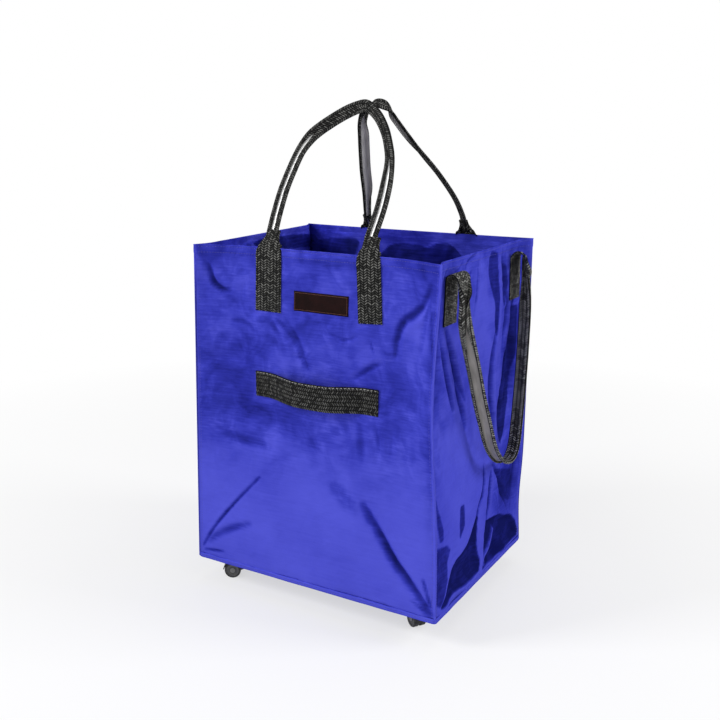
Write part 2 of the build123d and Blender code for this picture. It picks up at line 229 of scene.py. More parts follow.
class Finish(Nodes):
    """A procedural material."""

    def __init__(self, name):
        self.material = bpy.data.materials.new(name)
        super().__init__(self.material)
        self.shader = self.tree.nodes["Principled BSDF"]

    def coordinates(self, which, scale=(1.0, 1.0, 1.0), turn=0.0):
        """Object or UV coordinates, scaled, and turned in their plane."""
        mapping = self.node("ShaderNodeMapping")
        mapping.inputs["Scale"].default_value = scale
        mapping.inputs["Rotation"].default_value = (0.0, 0.0, turn)
        self.join(self.node("ShaderNodeTexCoord").outputs[which], mapping.inputs["Vector"])
        return mapping.outputs["Vector"]

    def split(self, which):
        """Object or UV coordinates one by one."""
        made = self.node("ShaderNodeSeparateXYZ")
        self.join(self.coordinates(which), made.inputs["Vector"])
        return made.outputs

    def noise(self, vector, detail, roughness, distortion=0.0):
        made = self.node("ShaderNodeTexNoise")
        made.inputs["Scale"].default_value = 1.0
        made.inputs["Detail"].default_value = detail
        made.inputs["Roughness"].default_value = roughness
        made.inputs["Distortion"].default_value = distortion
        self.join(vector, made.inputs["Vector"])
        return made.outputs["Fac"]

    def cloth_noise(self, across, along, detail, roughness):
        """Noise laid on the cloth, with so many cells in a metre each way."""
        return self.noise(self.coordinates("UV", (across, along, 1.0)), detail, roughness)

    def solid_noise(self, cells, detail, roughness):
        """Noise through the solid, with so many cells in a metre."""
        return self.noise(self.coordinates("Object", (cells, cells, cells)), detail, roughness)

    def sway(self, value, reach):
        """A value that runs to and fro between 0 and its reach."""
        return self.math("PINGPONG", value, reach)

    def ramp(self, factor, stops):
        made = self.node("ShaderNodeValToRGB")
        elements = made.color_ramp.elements
        while len(elements) < len(stops):
            elements.new(0.5)
        for element, (place, colour) in zip(elements, stops):
            element.position = place
            element.color = (*colour, 1.0)
        self.join(factor, made.inputs["Fac"])
        return made.outputs["Color"]

    def multiply(self, colour, other):
        made = self.node("ShaderNodeMix", data_type="RGBA", blend_type="MULTIPLY")
        made.inputs["Factor"].default_value = 1.0
        self.join(colour, made.inputs["A"])
        self.join(other, made.inputs["B"])
        return made.outputs["Result"]

    def bump(self, height, distance, strength, normal=None):
        made = self.node("ShaderNodeBump")
        made.inputs["Distance"].default_value = distance
        made.inputs["Strength"].default_value = strength
        self.join(height, made.inputs["Height"])
        if normal is not None:
            self.join(normal, made.inputs["Normal"])
        return made.outputs["Normal"]

    def swirled_shade(self, shade):
        """Breaks the painted shade into swirls and drag lines like satin reflections, where there is
        painted shade at all.
        """
        drag = self.cloth_noise(38.0, 330.0, 3.0, 0.6)
        swirl = self.noise(self.coordinates("UV", (24.0, 22.0, 1.0), 0.6), 3.0, 0.5, distortion=1.4)
        change = self.plus(self.grade(swirl, -0.42, 0.46), self.grade(drag, -0.26, 0.26))
        share = self.math("MINIMUM", self.times(shade, 4.0), 1.0)
        return self.plus(shade, self.times(change, share))

    def done(self, colour, rough, normal, **constants):
        """Joins what was made to the shader and gives the material."""
        for key, socket in (("Base Color", colour), ("Roughness", rough), ("Normal", normal)):
            self.join(socket, self.shader.inputs[key])
        for key, value in constants.items():
            self.shader.inputs[key.replace("_", " ")].default_value = value
        return self.material


# How much of its colour the foil keeps under the painted shade of its folds, from flat cloth to the darkest
# fold
FOLD_SHADE_TONES = [(0.0, (1.0, 1.0, 1.0)), (0.2, (0.57, 0.6, 0.78)), (0.4, (0.37, 0.4, 0.6))]
FOLD_SHADE_TONES += [(0.7, (0.19, 0.21, 0.35)), (1.0, (0.09, 0.11, 0.17))]
# Painted shade: the inside darkens between these depths below the rim, in metres, where less light reaches
MOUTH_LIT = 0.03
MOUTH_DARK = 0.085
MOUTH_SHADE_TONES = [(0.0, (0.4, 0.4, 0.45)), (1.0, (1.0, 1.0, 1.0))]
TAPES_IN_METRE = 420.0


def laminate_finish(name, bright, mid, deep, rim=None):
    """Foil-faced woven fabric: tape weave, faint drag lines, crinkles, and painted shade that darkens the
    foil in its folds.
    """
    f = Finish(name)
    streak = f.cloth_noise(14.0, 260.0, 3.0, 0.55)
    cloud = f.cloth_noise(9.0, 11.0, 4.0, 0.5)
    mixed = f.plus(f.times(streak, 0.22), f.times(cloud, 0.78))
    tone = f.ramp(mixed, [(0.3, deep), (0.42, mid), (0.58, bright)])
    # Painted shade: the fold_shade attribute darkens the foil in its folds and facets and in broad painted
    # reflections
    fold = f.swirled_shade(f.node("ShaderNodeAttribute", attribute_name="fold_shade").outputs["Fac"])
    tone = f.multiply(tone, f.ramp(fold, FOLD_SHADE_TONES))
    if rim:
        # Painted shade deep inside the bag, below the rim
        lit = f.grade(f.split("Object")["Z"], 0.0, 1.0, rim - MOUTH_DARK, rim - MOUTH_LIT)
        tone = f.multiply(tone, f.ramp(lit, MOUTH_SHADE_TONES))
    place = f.split("UV")
    weft = f.sway(f.times(place["Y"], TAPES_IN_METRE), 0.5)
    warp = f.sway(f.times(place["X"], TAPES_IN_METRE), 0.5)
    crinkle = f.cloth_noise(70.0, 80.0, 4.0, 0.6)
    weave = f.bump(f.math("MAXIMUM", weft, warp), 0.0002, 0.3)
    creased = f.bump(crinkle, 0.0026, 0.5, weave)
    # The foil shines less where the painted shade lies
    f.join(f.grade(fold, 0.13, 0.0), f.shader.inputs["Metallic"])
    shine = {"Specular_IOR_Level": 0.0, "Specular_Tint": (0.12, 0.14, 0.75, 1.0)}
    return f.done(tone, f.grade(cloud, 0.3, 0.46), creased, **shine)


RIBS_IN_METRE = 178.0
YARNS_IN_METRE = 285.0
YARN_SLANT = 1.1
WEFTS_IN_METRE = 900.0


def webbing_finish(name, dark, fleck):
    """Herringbone webbing: slanted yarns that turn about at each rib, with paler flecks."""
    f = Finish(name)
    place = f.split("UV")
    column = f.times(place["X"], RIBS_IN_METRE)
    slant = f.plus(f.times(place["Y"], YARNS_IN_METRE), f.times(f.sway(column, 1.0), YARN_SLANT))
    yarn = f.sway(slant, 0.5)
    middle = f.math("MINIMUM", f.times(f.sway(column, 0.5), 5.0), 1.0)
    weft = f.sway(f.times(place["X"], WEFTS_IN_METRE), 0.5)
    grain = f.cloth_noise(520.0, 520.0, 2.0, 0.6)
    each = f.node("ShaderNodeCombineXYZ")
    f.join(f.math("FLOOR", column), each.inputs["X"])
    f.join(f.math("FLOOR", slant), each.inputs["Y"])
    chance = f.node("ShaderNodeTexWhiteNoise", noise_dimensions="2D")
    f.join(each.outputs["Vector"], chance.inputs["Vector"])
    own = f.plus(f.times(chance.outputs["Value"], 0.6), 0.45)
    lit = f.times(f.times(yarn, middle), f.times(own, f.plus(grain, 0.5)))
    tone = f.ramp(lit, [(0.16, dark), (0.42, fleck)])
    woven = f.bump(weft, 0.0003, 0.4, f.bump(yarn, 0.0009, 0.9))
    return f.done(tone, f.grade(grain, 0.62, 0.85), woven, Specular_IOR_Level=0.05)


def lining_finish(name, low, high, metallic):
    """Smooth lining of the straps, with faint lengthwise threads and a soft shine."""
    f = Finish(name)
    cloud = f.cloth_noise(120.0, 26.0, 3.0, 0.5)
    tone = f.ramp(cloud, [(0.3, low), (0.7, high)])
    threads = f.bump(f.cloth_noise(1800.0, 30.0, 2.0, 0.5), 0.0003, 0.5)
    return f.done(tone, f.grade(cloud, 0.3, 0.45), threads, Metallic=metallic)


def thread_finish(name, colour, paler):
    """Twisted sewing thread."""
    f = Finish(name)
    twist = f.solid_noise(900.0, 2.0, 0.5)
    tone = f.ramp(twist, [(0.35, colour), (0.7, paler)])
    return f.done(tone, f.grade(twist, 0.5, 0.7), f.bump(twist, 0.0002, 0.5))


def leather_finish(name):
    """Dark leather-look patch with a fine grain."""
    f = Finish(name)
    cell = f.node("ShaderNodeTexVoronoi")
    cell.inputs["Scale"].default_value = 900.0
    f.join(f.coordinates("Object"), cell.inputs["Vector"])
    cloud = f.solid_noise(60.0, 3.0, 0.6)
    tone = f.ramp(cloud, [(0.3, (0.006, 0.002, 0.002)), (0.7, (0.013, 0.004, 0.004))])
    grain = f.bump(cell.outputs["Distance"], 0.0004, 0.5)
    return f.done(tone, f.grade(cloud, 0.45, 0.62), grain, Specular_IOR_Level=0.05)


def moulded_finish(name, dark, pale):
    """Moulded plastic with a fine spark-eroded grain and scuffs."""
    f = Finish(name)
    scuff = f.solid_noise(70.0, 4.0, 0.6)
    tone = f.ramp(scuff, [(0.35, dark), (0.75, pale)])
    grain = f.bump(f.solid_noise(800.0, 2.0, 0.5), 0.00025, 0.4)
    return f.done(tone, f.grade(scuff, 0.38, 0.6), grain, Specular_IOR_Level=0.25)


def steel_finish(name):
    """Zinc-plated steel."""
    f = Finish(name)
    brush = f.noise(f.coordinates("Object", (300.0, 300.0, 1500.0)), 3.0, 0.5)
    tone = f.ramp(brush, [(0.3, (0.42, 0.42, 0.43)), (0.7, (0.6, 0.6, 0.6))])
    return f.done(tone, f.grade(brush, 0.25, 0.42), f.bump(brush, 0.0001, 0.4), Metallic=1.0)


# A wheel's tones from its hub outwards, as shares of its reach in metres
WHEEL_REACH = 0.0135
WHEEL_TONES = [(0.0, (0.17, 0.17, 0.17)), (0.28, (0.2, 0.2, 0.2)), (0.33, (0.06, 0.06, 0.06))]
WHEEL_TONES += [(0.7, (0.12, 0.12, 0.12)), (0.76, (0.035, 0.035, 0.036)), (0.95, (0.018, 0.018, 0.02))]
DUST_TONES = [(0.3, (0.75, 0.75, 0.75)), (0.7, (1.15, 1.14, 1.12))]


def wheel_finish(name, centre, axis):
    """A caster wheel: dark tread, paler moulded face and hub, by distance from its axle."""
    f = Finish(name)
    apart = f.node("ShaderNodeVectorMath", operation="SUBTRACT")
    apart.inputs[1].default_value = centre
    f.join(f.node("ShaderNodeTexCoord").outputs["Object"], apart.inputs[0])
    cross = f.node("ShaderNodeVectorMath", operation="CROSS_PRODUCT")
    cross.inputs[1].default_value = axis
    f.join(apart.outputs["Vector"], cross.inputs[0])
    radius = f.node("ShaderNodeVectorMath", operation="LENGTH")
    f.join(cross.outputs["Vector"], radius.inputs[0])
    tone = f.ramp(f.times(radius.outputs["Value"], 1.0 / WHEEL_REACH), WHEEL_TONES)
    dust = f.solid_noise(160.0, 4.0, 0.6)
    dusty = f.multiply(tone, f.ramp(dust, DUST_TONES))
    return f.done(dusty, f.grade(dust, 0.4, 0.65), f.bump(dust, 0.0003, 0.35), Specular_IOR_Level=0.25)


foil_tones = [(0.075, 0.083, 0.56), (0.065, 0.072, 0.52), (0.05, 0.056, 0.46)]
# The inside skin: a copy of the foil brightened by painted light, with painted shade deep below the rim
inside_painted_light_tones = [(0.1, 0.11, 0.72), (0.06, 0.066, 0.58), (0.03, 0.033, 0.38)]
foil = laminate_finish("blue_foil_fabric", *foil_tones)
foil_inside_painted_light = laminate_finish("blue_foil_inside", *inside_painted_light_tones, rim=RIM * MM)
herringbone = webbing_finish("black_herringbone", (0.006, 0.006, 0.006), (0.18, 0.18, 0.17))
grab_herringbone = webbing_finish("black_herringbone_grab", (0.006, 0.006, 0.006), (0.12, 0.12, 0.115))
# The pull straps' webbing has paler flecks, partly painted light that lifts their shaded back limb
pull_herringbone_lifted = webbing_finish("black_herringbone_pull", (0.009, 0.009, 0.009), (0.38, 0.38, 0.36))
silver_lining = lining_finish("silver_lining", (0.86, 0.86, 0.86), (0.97, 0.97, 0.97), 0.4)
# A darker copy of the strap lining for the back grip: painted shade, as that grip's lining lies in shadow
back_grip_shaded_lining = lining_finish("back_grip_shaded_lining", (0.3, 0.29, 0.3), (0.5, 0.49, 0.5), 0.2)
# A still darker, dull copy of the strap lining for the pull straps: painted shade standing for its dimmer
# reflections there
pull_shaded_lining = lining_finish("pull_shaded_lining", (0.15, 0.14, 0.135), (0.27, 0.255, 0.245), 0.0)
blue_thread = thread_finish("blue_thread", (0.028, 0.027, 0.26), (0.07, 0.07, 0.45))
black_thread = thread_finish("black_thread", (0.01, 0.01, 0.011), (0.05, 0.05, 0.05))
grey_thread = thread_finish("grey_thread", (0.3, 0.29, 0.28), (0.5, 0.49, 0.47))
brown_thread = thread_finish("red_brown_thread", (0.07, 0.018, 0.012), (0.16, 0.05, 0.03))
patch_leather = leather_finish("dark_patch")
board_plastic = moulded_finish("board_plastic", (0.02, 0.02, 0.022), (0.05, 0.05, 0.055))
housing_plastic = moulded_finish("housing_plastic", (0.012, 0.012, 0.013), (0.03, 0.03, 0.032))
zinc = steel_finish("zinc_steel")


# Mesh helpers


def put_in_scene(name, data):
    """A new object at the origin of the scene."""
    obj = bpy.data.objects.new(name, data)
    bpy.context.scene.collection.objects.link(obj)
    return obj


def belongs(obj, body, node=None):
    """Lets a finished piece ride a body, in place of a node of the frame if it stands for one."""
    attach(obj, body)
    if node:
        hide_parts(node)


def grid_faces(rows, columns, flip=False):
    """Quads of a grid of points stored row by row."""
    i, j = np.meshgrid(np.arange(rows - 1), np.arange(columns - 1), indexing="ij")
    a = (i * columns + j).ravel()
    quad = np.stack([a, a + 1, a + columns + 1, a + columns], axis=1)
    return quad[:, ::-1] if flip else quad


def new_piece(name, points, faces, materials, uv, skins=None, fold_shade=None):
    """A smooth mesh object in metres, with its map, its skins and the shade of its folds."""
    mesh = bpy.data.meshes.new(name)
    mesh.from_pydata((np.asarray(points) * MM).tolist(), [], np.asarray(faces).tolist())
    for material in materials:
        mesh.materials.append(material)
    if skins is not None:
        mesh.polygons.foreach_set("material_index", np.asarray(skins, np.int32))
    corner = np.zeros(len(mesh.loops), np.int32)
    mesh.loops.foreach_get("vertex_index", corner)
    layer = mesh.uv_layers.new(name="surface")
    layer.data.foreach_set("uv", (np.asarray(uv) * MM)[corner].astype(np.float32).ravel())
    if fold_shade is not None:
        made = mesh.attributes.new("fold_shade", "FLOAT", "POINT")
        made.data.foreach_set("value", np.asarray(fold_shade, np.float32).ravel())
    mesh.polygons.foreach_set("use_smooth", np.ones(len(mesh.polygons), bool))
    mesh.update()
    return put_in_scene(name, mesh)


def thicken(obj, thickness, offset, inner_skin=0):
    """Gives a sheet its thickness as a plain mesh, with another skin on its back."""
    wall = obj.modifiers.new("thickness", "SOLIDIFY")
    wall.thickness = thickness * MM
    wall.offset = offset
    wall.material_offset = inner_skin
    graph = bpy.context.evaluated_depsgraph_get()
    ready = obj.evaluated_get(graph)
    made = bpy.data.meshes.new_from_object(ready, preserve_all_data_layers=True, depsgraph=graph)
    thin = obj.data
    obj.modifiers.clear()
    obj.data = made
    made.name = obj.name
    bpy.data.meshes.remove(thin)


# Stitches: pitch, length and thickness of the thread
HEM_STITCH = (4.2, 3.1, 0.7)
BINDING_STITCH = (4.2, 3.1, 0.6)
BOX_STITCH = (3.8, 2.8, 0.7)
GRIP_STITCH = (4.0, 2.8, 0.6)
GRAB_EDGE_STITCH = (5.5, 3.2, 1.0)
LOOP_STITCH = (4.4, 2.6, 0.75)
PATCH_STITCH = (1.9, 1.8, 0.75)


def stitch_tree():
    """Lays one thread stitch after another along a line."""
    tree = bpy.data.node_groups.new("stitch_line", "GeometryNodeTree")
    face = tree.interface
    face.new_socket("Line", in_out="INPUT", socket_type="NodeSocketGeometry")
    for name in ("Pitch", "Stitch length", "Thread thickness"):
        face.new_socket(name, in_out="INPUT", socket_type="NodeSocketFloat")
    face.new_socket("Thread", in_out="INPUT", socket_type="NodeSocketMaterial")
    face.new_socket("Stitches", in_out="OUTPUT", socket_type="NodeSocketGeometry")
    nodes = tree.nodes
    start = nodes.new("NodeGroupInput").outputs
    end = nodes.new("NodeGroupOutput")
    even = nodes.new("GeometryNodeResampleCurve")
    even.mode = "LENGTH"
    tangent = nodes.new("GeometryNodeInputTangent")
    turn = nodes.new("FunctionNodeAlignRotationToVector")
    turn.axis = "X"
    bead = nodes.new("GeometryNodeMeshUVSphere")
    for key, value in (("Segments", 6), ("Rings", 4), ("Radius", 0.5)):
        bead.inputs[key].default_value = value
    size = nodes.new("ShaderNodeCombineXYZ")
    lay = nodes.new("GeometryNodeInstanceOnPoints")
    real = nodes.new("GeometryNodeRealizeInstances")
    thread = nodes.new("GeometryNodeSetMaterial")
    for source, target in (
        (start["Line"], even.inputs["Curve"]),
        (start["Pitch"], even.inputs["Length"]),
        (tangent.outputs["Tangent"], turn.inputs["Vector"]),
        (start["Stitch length"], size.inputs["X"]),
        (start["Thread thickness"], size.inputs["Y"]),
        (start["Thread thickness"], size.inputs["Z"]),
        (even.outputs["Curve"], lay.inputs["Points"]),
        (bead.outputs["Mesh"], lay.inputs["Instance"]),
        (turn.outputs["Rotation"], lay.inputs["Rotation"]),
        (size.outputs["Vector"], lay.inputs["Scale"]),
        (lay.outputs["Instances"], real.inputs["Geometry"]),
        (real.outputs["Geometry"], thread.inputs["Geometry"]),
        (start["Thread"], thread.inputs["Material"]),
        (thread.outputs["Geometry"], end.inputs["Stitches"]),
    ):
        tree.links.new(source, target)
    return tree


STITCHES = stitch_tree()
STITCH_SOCKETS = STITCHES.interface.items_tree
STITCH_INPUT = {item.name: item.identifier for item in STITCH_SOCKETS if item.in_out == "INPUT"}


def stitched(name, lines, thread, stitch, body="bag"):
    """Stitches along several lines, as one plain mesh that rides a body."""
    curve = bpy.data.curves.new(name + "_lines", "CURVE")
    curve.dimensions = "3D"
    for line in lines:
        spline = curve.splines.new("POLY")
        spline.points.add(len(line) - 1)
        placed = np.hstack([np.asarray(line) * MM, np.ones((len(line), 1))])
        spline.points.foreach_set("co", placed.astype(np.float32).ravel())
    guide = put_in_scene(name + "_guide", curve)
    layer = guide.modifiers.new("stitches", "NODES")
    layer.node_group = STITCHES
    for key, value in zip(("Pitch", "Stitch length", "Thread thickness"), stitch):
        layer[STITCH_INPUT[key]] = value * MM
    layer[STITCH_INPUT["Thread"]] = thread
    graph = bpy.context.evaluated_depsgraph_get()
    mesh = bpy.data.meshes.new_from_object(guide.evaluated_get(graph), depsgraph=graph)
    bpy.data.objects.remove(guide)
    bpy.data.curves.remove(curve)
    mesh.name = name
    mesh.polygons.foreach_set("use_smooth", np.ones(len(mesh.polygons), bool))
    belongs(put_in_scene(name, mesh), body)


# Bag walls, whose maps lie side by side
WALL_MAP = 500.0
SIDES = ("front", "right", "back", "left")
ALONG = {"front": ACROSS, "right": DEEP, "back": -ACROSS, "left": -DEEP}
OUT = {"front": -DEEP, "right": ACROSS, "back": DEEP, "left": -ACROSS}
WALL_CORNERS = {
    "front": ("front_left", "front_right"),
    "right": ("front_right", "back_right"),
    "back": ("back_right", "back_left"),
    "left": ("back_left", "front_left"),
}
# How far a wall is drawn in at its rim, and over what width it is drawn in fully
BOW = {"front": 24.0, "right": 10.0, "back": 4.0, "left": 10.0}
FLAT = {"front": 232.0, "right": 256.0, "back": 232.0, "left": 256.0}
CORNERS = {"front_left": (-1, -1), "front_right": (1, -1), "back_right": (1, 1), "back_left": (-1, 1)}
# The soft corners stray across the bag: how far, at what height and over what reach
CORNER_SWAY = {
    "front_right": (-11.0, 310.0, 140.0),
    "back_right": (-4.0, 70.0, 60.0),
    "back_left": (3.0, 300.0, 130.0),
}
# The fourth one leans instead: at its foot, and from there to the rim
CORNER_LEAN = (-7.5, 16.5)


def half_of(side):
    """Half a wall's width."""
    return HALF_WIDTH if side in ("front", "back") else HALF_DEPTH


def corner_line(name, height):
    """A corner of the bag from foot to rim."""
    across, along = CORNERS[name]
    x = np.full_like(height, across * HALF_WIDTH)
    y = np.full_like(height, along * HALF_DEPTH)
    if name in CORNER_SWAY:
        far, middle, reach = CORNER_SWAY[name]
        x += far * bell(height - middle, reach)
    else:
        foot, lean = CORNER_LEAN
        x += foot + lean * height / WALL_RISE
    return np.stack([x, y], axis=-1)


# Each fold: its line on the wall (from the middle, up from the foot), width, depth and how dark its painted
# shade lies
FRONT_FOLDS = [
    ([(-181, 474), (-178, 460), (-173, 444), (-162, 435), (-147, 434)], 5, 4.0, 0.85),
    ([(-55, 404), (-30, 372), (-12, 327)], 8, 4.0, 0.6),
    ([(-82, 397), (-54, 369)], 7, 2.5, 0.5),
    ([(-148, 390), (-116, 390), (-100, 369)], 6, 2.0, 0.5),
    ([(187, 477), (174, 445), (157, 429), (139, 418), (130, 394), (128, 364)], 7, 5.0, 0.85),
    ([(-35, 349), (-23, 347), (-12, 334)], 3, 2.0, 0.6),
    ([(13, 389), (32, 386), (48, 380), (72, 390)], 3, 2.0, 0.45),
    ([(90, 385), (96, 367)], 3, 1.5, 0.5),
    ([(-8, 487), (64, 486)], 2.4, 0.8, 0.5),
    ([(19, 480), (46, 480)], 2.4, 0.8, 0.45),
    ([(-200, 322), (-168, 335), (-132, 333), (-105, 322)], 9, 2.0, 0.45),
    ([(-203, 268), (-175, 279), (-147, 281), (-111, 272)], 8, 2.0, 0.45),
    ([(63, 327), (105, 357), (113, 348)], 5, 2.5, 0.5),
    ([(-200, 316), (-132, 350), (-95, 326)], 24, 2.5, 0.32),
    ([(111, 341), (151, 337), (160, 285)], 24, 2.5, 0.32),
    ([(-188, 235), (-109, 261), (-53, 230)], 18, 2.0, 0.28),
    ([(-180, 222), (-141, 207), (-78, 205)], 11, 3.0, 0.5),
    ([(-24, 212), (34, 247), (67, 268)], 20, 2.5, 0.34),
    ([(30, 171), (70, 139)], 14, 1.5, 0.28),
    ([(75, 270), (80, 212)], 10, 1.5, 0.45),
    ([(105, 268), (108, 220)], 7, 1.5, 0.4),
    ([(128, 270), (126, 222)], 7, 1.5, 0.35),
    ([(-205, 20), (-168, 76), (-96, 154)], 2.6, 2.0, 0.75),
    ([(-192, 31), (-158, 56), (-115, 74)], 6, 2.5, 0.45),
    ([(-202, 13), (-165, 18)], 2.5, 1.5, 0.7),
    ([(86, 146), (112, 112), (135, 77), (163, 51), (196, 12)], 8, 7.0, 1.0),
    ([(178, 42), (198, 14)], 2.6, 1.4, 0.5),
    ([(186, 62), (200, 18)], 2.6, 1.4, 0.5),
    ([(168, 24), (198, 9)], 2.6, 1.2, 0.45),
    ([(180, 484), (189, 432), (194, 339), (196, 239)], 3, 2.0, 0.5),
    ([(150, 470), (172, 436)], 5, 2.0, 0.35),
    ([(193, 484), (176, 420), (172, 380)], 5, 2.5, 0.4),
]
RIGHT_FOLDS = [
    ([(66, 494), (82, 440), (97, 401), (81, 350)], 5, 4.5, 0.65),
    ([(51, 372), (38, 335), (31, 288), (38, 240), (30, 190)], 4.5, 4.0, 0.75),
    ([(-134, 402), (-112, 356), (-85, 289)], 5, 4.5, 0.65),
    ([(-112, 405), (-81, 347), (-52, 255)], 5.5, 5.0, 0.8),
    ([(-91, 366), (-53, 294)], 3.5, 3.0, 0.6),
    ([(-148, 484), (-146, 380)], 6, 3.0, 0.5),
    ([(-136, 440), (-144, 290)], 5, 2.5, 0.4),
    ([(60, 150), (81, 112), (104, 87), (113, 66)], 6, 5.0, 0.95),
    ([(140, 190), (136, 130), (131, 93), (126, 60)], 6, 5.0, 0.9),
    ([(15, 178), (14, 136), (-7, 117), (-13, 104)], 3, 3.0, 0.85),
    ([(34, 160), (30, 112), (23, 84)], 3, 3.0, 0.85),
    ([(38, 170), (70, 136), (92, 108)], 4, 3.0, 0.6),
    ([(112, 420), (118, 340), (112, 260)], 6, 5.0, 0.75),
    ([(92, 330), (84, 270), (72, 200)], 5, 4.0, 0.7),
    ([(146, 480), (140, 330), (146, 190)], 6, 4.0, 0.6),
    ([(-20, 500), (-17, 452), (-24, 410)], 3, 1.5, 0.3),
    ([(-27, 500), (-52, 494), (-59, 481)], 4, 2.0, 0.55),
    ([(-36, 476), (-51, 459), (-46, 439)], 4, 2.0, 0.5),
    ([(-70, 496), (-84, 482), (-100, 484)], 3, 1.5, 0.45),
    ([(-118, 492), (-132, 470)], 3, 1.5, 0.45),
]

# Sunken facets between folds: outline on the wall, softness of the edge, depth and how dark their painted
# shade lies
LEFT_FAN = [(-145, 12), (-116, 42), (-89, 61), (-71, 67), (-43, 81), (-10, 107)]
LEFT_FAN += [(-13, 82), (-16, 57), (-7, 30), (-12, 14), (-70, 14)]
RIGHT_FAN = [(-2, 13), (6, 28), (13, 59), (22, 84), (46, 81), (79, 74), (97, 65)]
RIGHT_FAN += [(128, 55), (148, 38), (156, 16), (152, 8), (65, 11)]
BACK_STRIPE = [(24, 497), (49, 490), (56, 450), (63, 426), (59, 391), (54, 364)]
BACK_STRIPE += [(45, 384), (47, 411), (31, 442), (22, 465)]
BACK_SHADE = [(103, 404), (140, 399), (134, 344), (118, 299), (108, 253), (92, 209), (72, 191)]
BACK_SHADE += [(56, 212), (45, 246), (64, 276), (87, 306), (97, 351), (102, 383)]
FRONT_SHADE = [(-156, 110), (-120, 101), (-106, 88), (-120, 75), (-119, 49), (-143, 16), (-156, 26)]
RIGHT_FACETS = [
    (LEFT_FAN, 3.0, 7.0, 0.95),
    (RIGHT_FAN, 3.0, 8.0, 0.97),
    (BACK_STRIPE, 3.0, 4.0, 0.7),
    ([(64, 477), (84, 468), (92, 438), (85, 404), (75, 420), (71, 447)], 3.0, 3.0, 0.65),
    (BACK_SHADE, 3.0, 5.0, 0.85),
    ([(41, 162), (126, 134), (133, 109), (129, 86), (110, 84), (78, 119), (57, 143)], 3.0, 4.0, 0.75),
    ([(-154, 186), (-146, 157), (-133, 129), (-133, 114), (-147, 116), (-151, 145)], 3.5, 2.5, 0.55),
    (FRONT_SHADE, 5.0, 4.0, 0.62),
    ([(-64, 142), (-62, 111), (-75, 92), (-77, 115), (-75, 142)], 3.0, 2.5, 0.6),
]
FRONT_WEDGE = [(169, 444), (159, 427), (146, 420), (140, 407), (134, 389), (129, 366)]
FRONT_WEDGE += [(126, 367), (126, 388), (131, 404), (138, 417), (151, 430), (163, 438)]
FRONT_SLANT = [(-70, 401), (-62, 401), (-35, 380), (-21, 355)]
FRONT_SLANT += [(-8, 328), (-25, 341), (-35, 364), (-50, 384)]
FRONT_NICK = [(-181, 476), (-173, 464), (-172, 450), (-157, 436)]
FRONT_NICK += [(-145, 431), (-161, 429), (-177, 440), (-180, 457)]
FRONT_FACETS = [
    (FRONT_WEDGE, 2.6, 2.0, 0.55),
    (FRONT_SLANT, 3.0, 2.0, 0.45),
    (FRONT_NICK, 2.6, 1.5, 0.4),
]
# Facets of painted shade near the rim of the back wall, on both its skins
BACK_WAVE = [(41, 474), (19, 479), (-15, 478), (-28, 474), (-47, 483), (-65, 485), (-79, 477)]
BACK_WAVE += [(-94, 462), (-69, 438), (41, 434), (60, 456)]
BACK_HOLLOW = [(186, 473), (151, 480), (107, 481), (99, 476)]
BACK_HOLLOW += [(107, 452), (152, 440), (203, 438), (203, 459)]
BACK_FACETS = [
    (BACK_WAVE, 4.0, 3.0, 0.85),
    (BACK_HOLLOW, 4.0, 2.0, 0.78),
    ([(205, 482), (190, 482), (181, 473), (205, 463)], 4.0, 1.5, 0.78),
]
# Painted shade along the mouth of the left wall
LEFT_MOUTH = [(26, 487), (-1, 491), (-56, 490), (-122, 487)]
LEFT_MOUTH += [(-158, 481), (-158, 460), (-68, 468), (10, 478)]
# Lit ridges that cross the facets, where the painted shade is lifted: line, width and height
RIGHT_RIDGES = [([(57, 56), (44, 33), (8, 19)], 4.0, 5.0)]
# Unseen walls take their folds from the seen ones
FOLD_SHIFT = 14.0
FOLD_LOW, FOLD_HIGH = 10.0, 490.0
LEFT_SHIFT = 4.0


def wandered(folds, seed, share):
    """The folds of an unseen wall: some of another's, turned about and shifted."""
    rng = np.random.default_rng(seed)
    made = []
    for line, width, depth, shade in folds:
        shift = rng.uniform(-FOLD_SHIFT, FOLD_SHIFT, 2)
        keep = rng.uniform() < share
        scale = rng.uniform(0.7, 1.1)
        if keep:
            moved = [(-x + shift[0], min(max(z + shift[1], FOLD_LOW), FOLD_HIGH)) for x, z in line]
            made.append((moved, width, depth * scale, shade * scale))
    return made


def turned_about(outlines):
    """Facets or ridges of the right wall as the left one has them."""
    return [([(LEFT_SHIFT - x, z) for x, z in points], *rest) for points, *rest in outlines]


WALL_FOLDS = {
    "front": FRONT_FOLDS,
    "right": RIGHT_FOLDS,
    "back": wandered(FRONT_FOLDS, seed=11, share=0.75),
    "left": wandered(RIGHT_FOLDS, seed=23, share=0.9),
}
LEFT_FACETS = turned_about(RIGHT_FACETS) + [(LEFT_MOUTH, 4.0, 1.5, 0.85)]
WALL_FACETS = {"front": FRONT_FACETS, "right": RIGHT_FACETS, "back": BACK_FACETS, "left": LEFT_FACETS}
WALL_RIDGES = {"front": [], "right": RIGHT_RIDGES, "back": [], "left": turned_about(RIGHT_RIDGES)}


def tab_sewn(side):
    """The two patches of wall under a handle's tabs."""
    way, half = ALONG[side][0], HANDLE_TAB / 2
    return [(way * sum(ends) / 2, WALL_RISE - half, 22.0, half) for ends in TAB_PLACES[side].values()]


def grab_sewn(side):
    """The two patches of wall under a grab strap's ends."""
    middle, end = GRAB_ACROSS[side], GRAB_HALF - 10.0
    return [(x, WALL_RISE - GRAB_BELOW_RIM, 12.0, 20.0) for x in (middle - end, middle + end)]


def pull_sewn(way):
    """The two patches of wall under a pull strap's tabs."""
    half = PULL_TAB / 2
    return [(way * y, WALL_RISE - PULL_BELOW_RIM - half, 21.0, half) for y in PULL_PLACES]


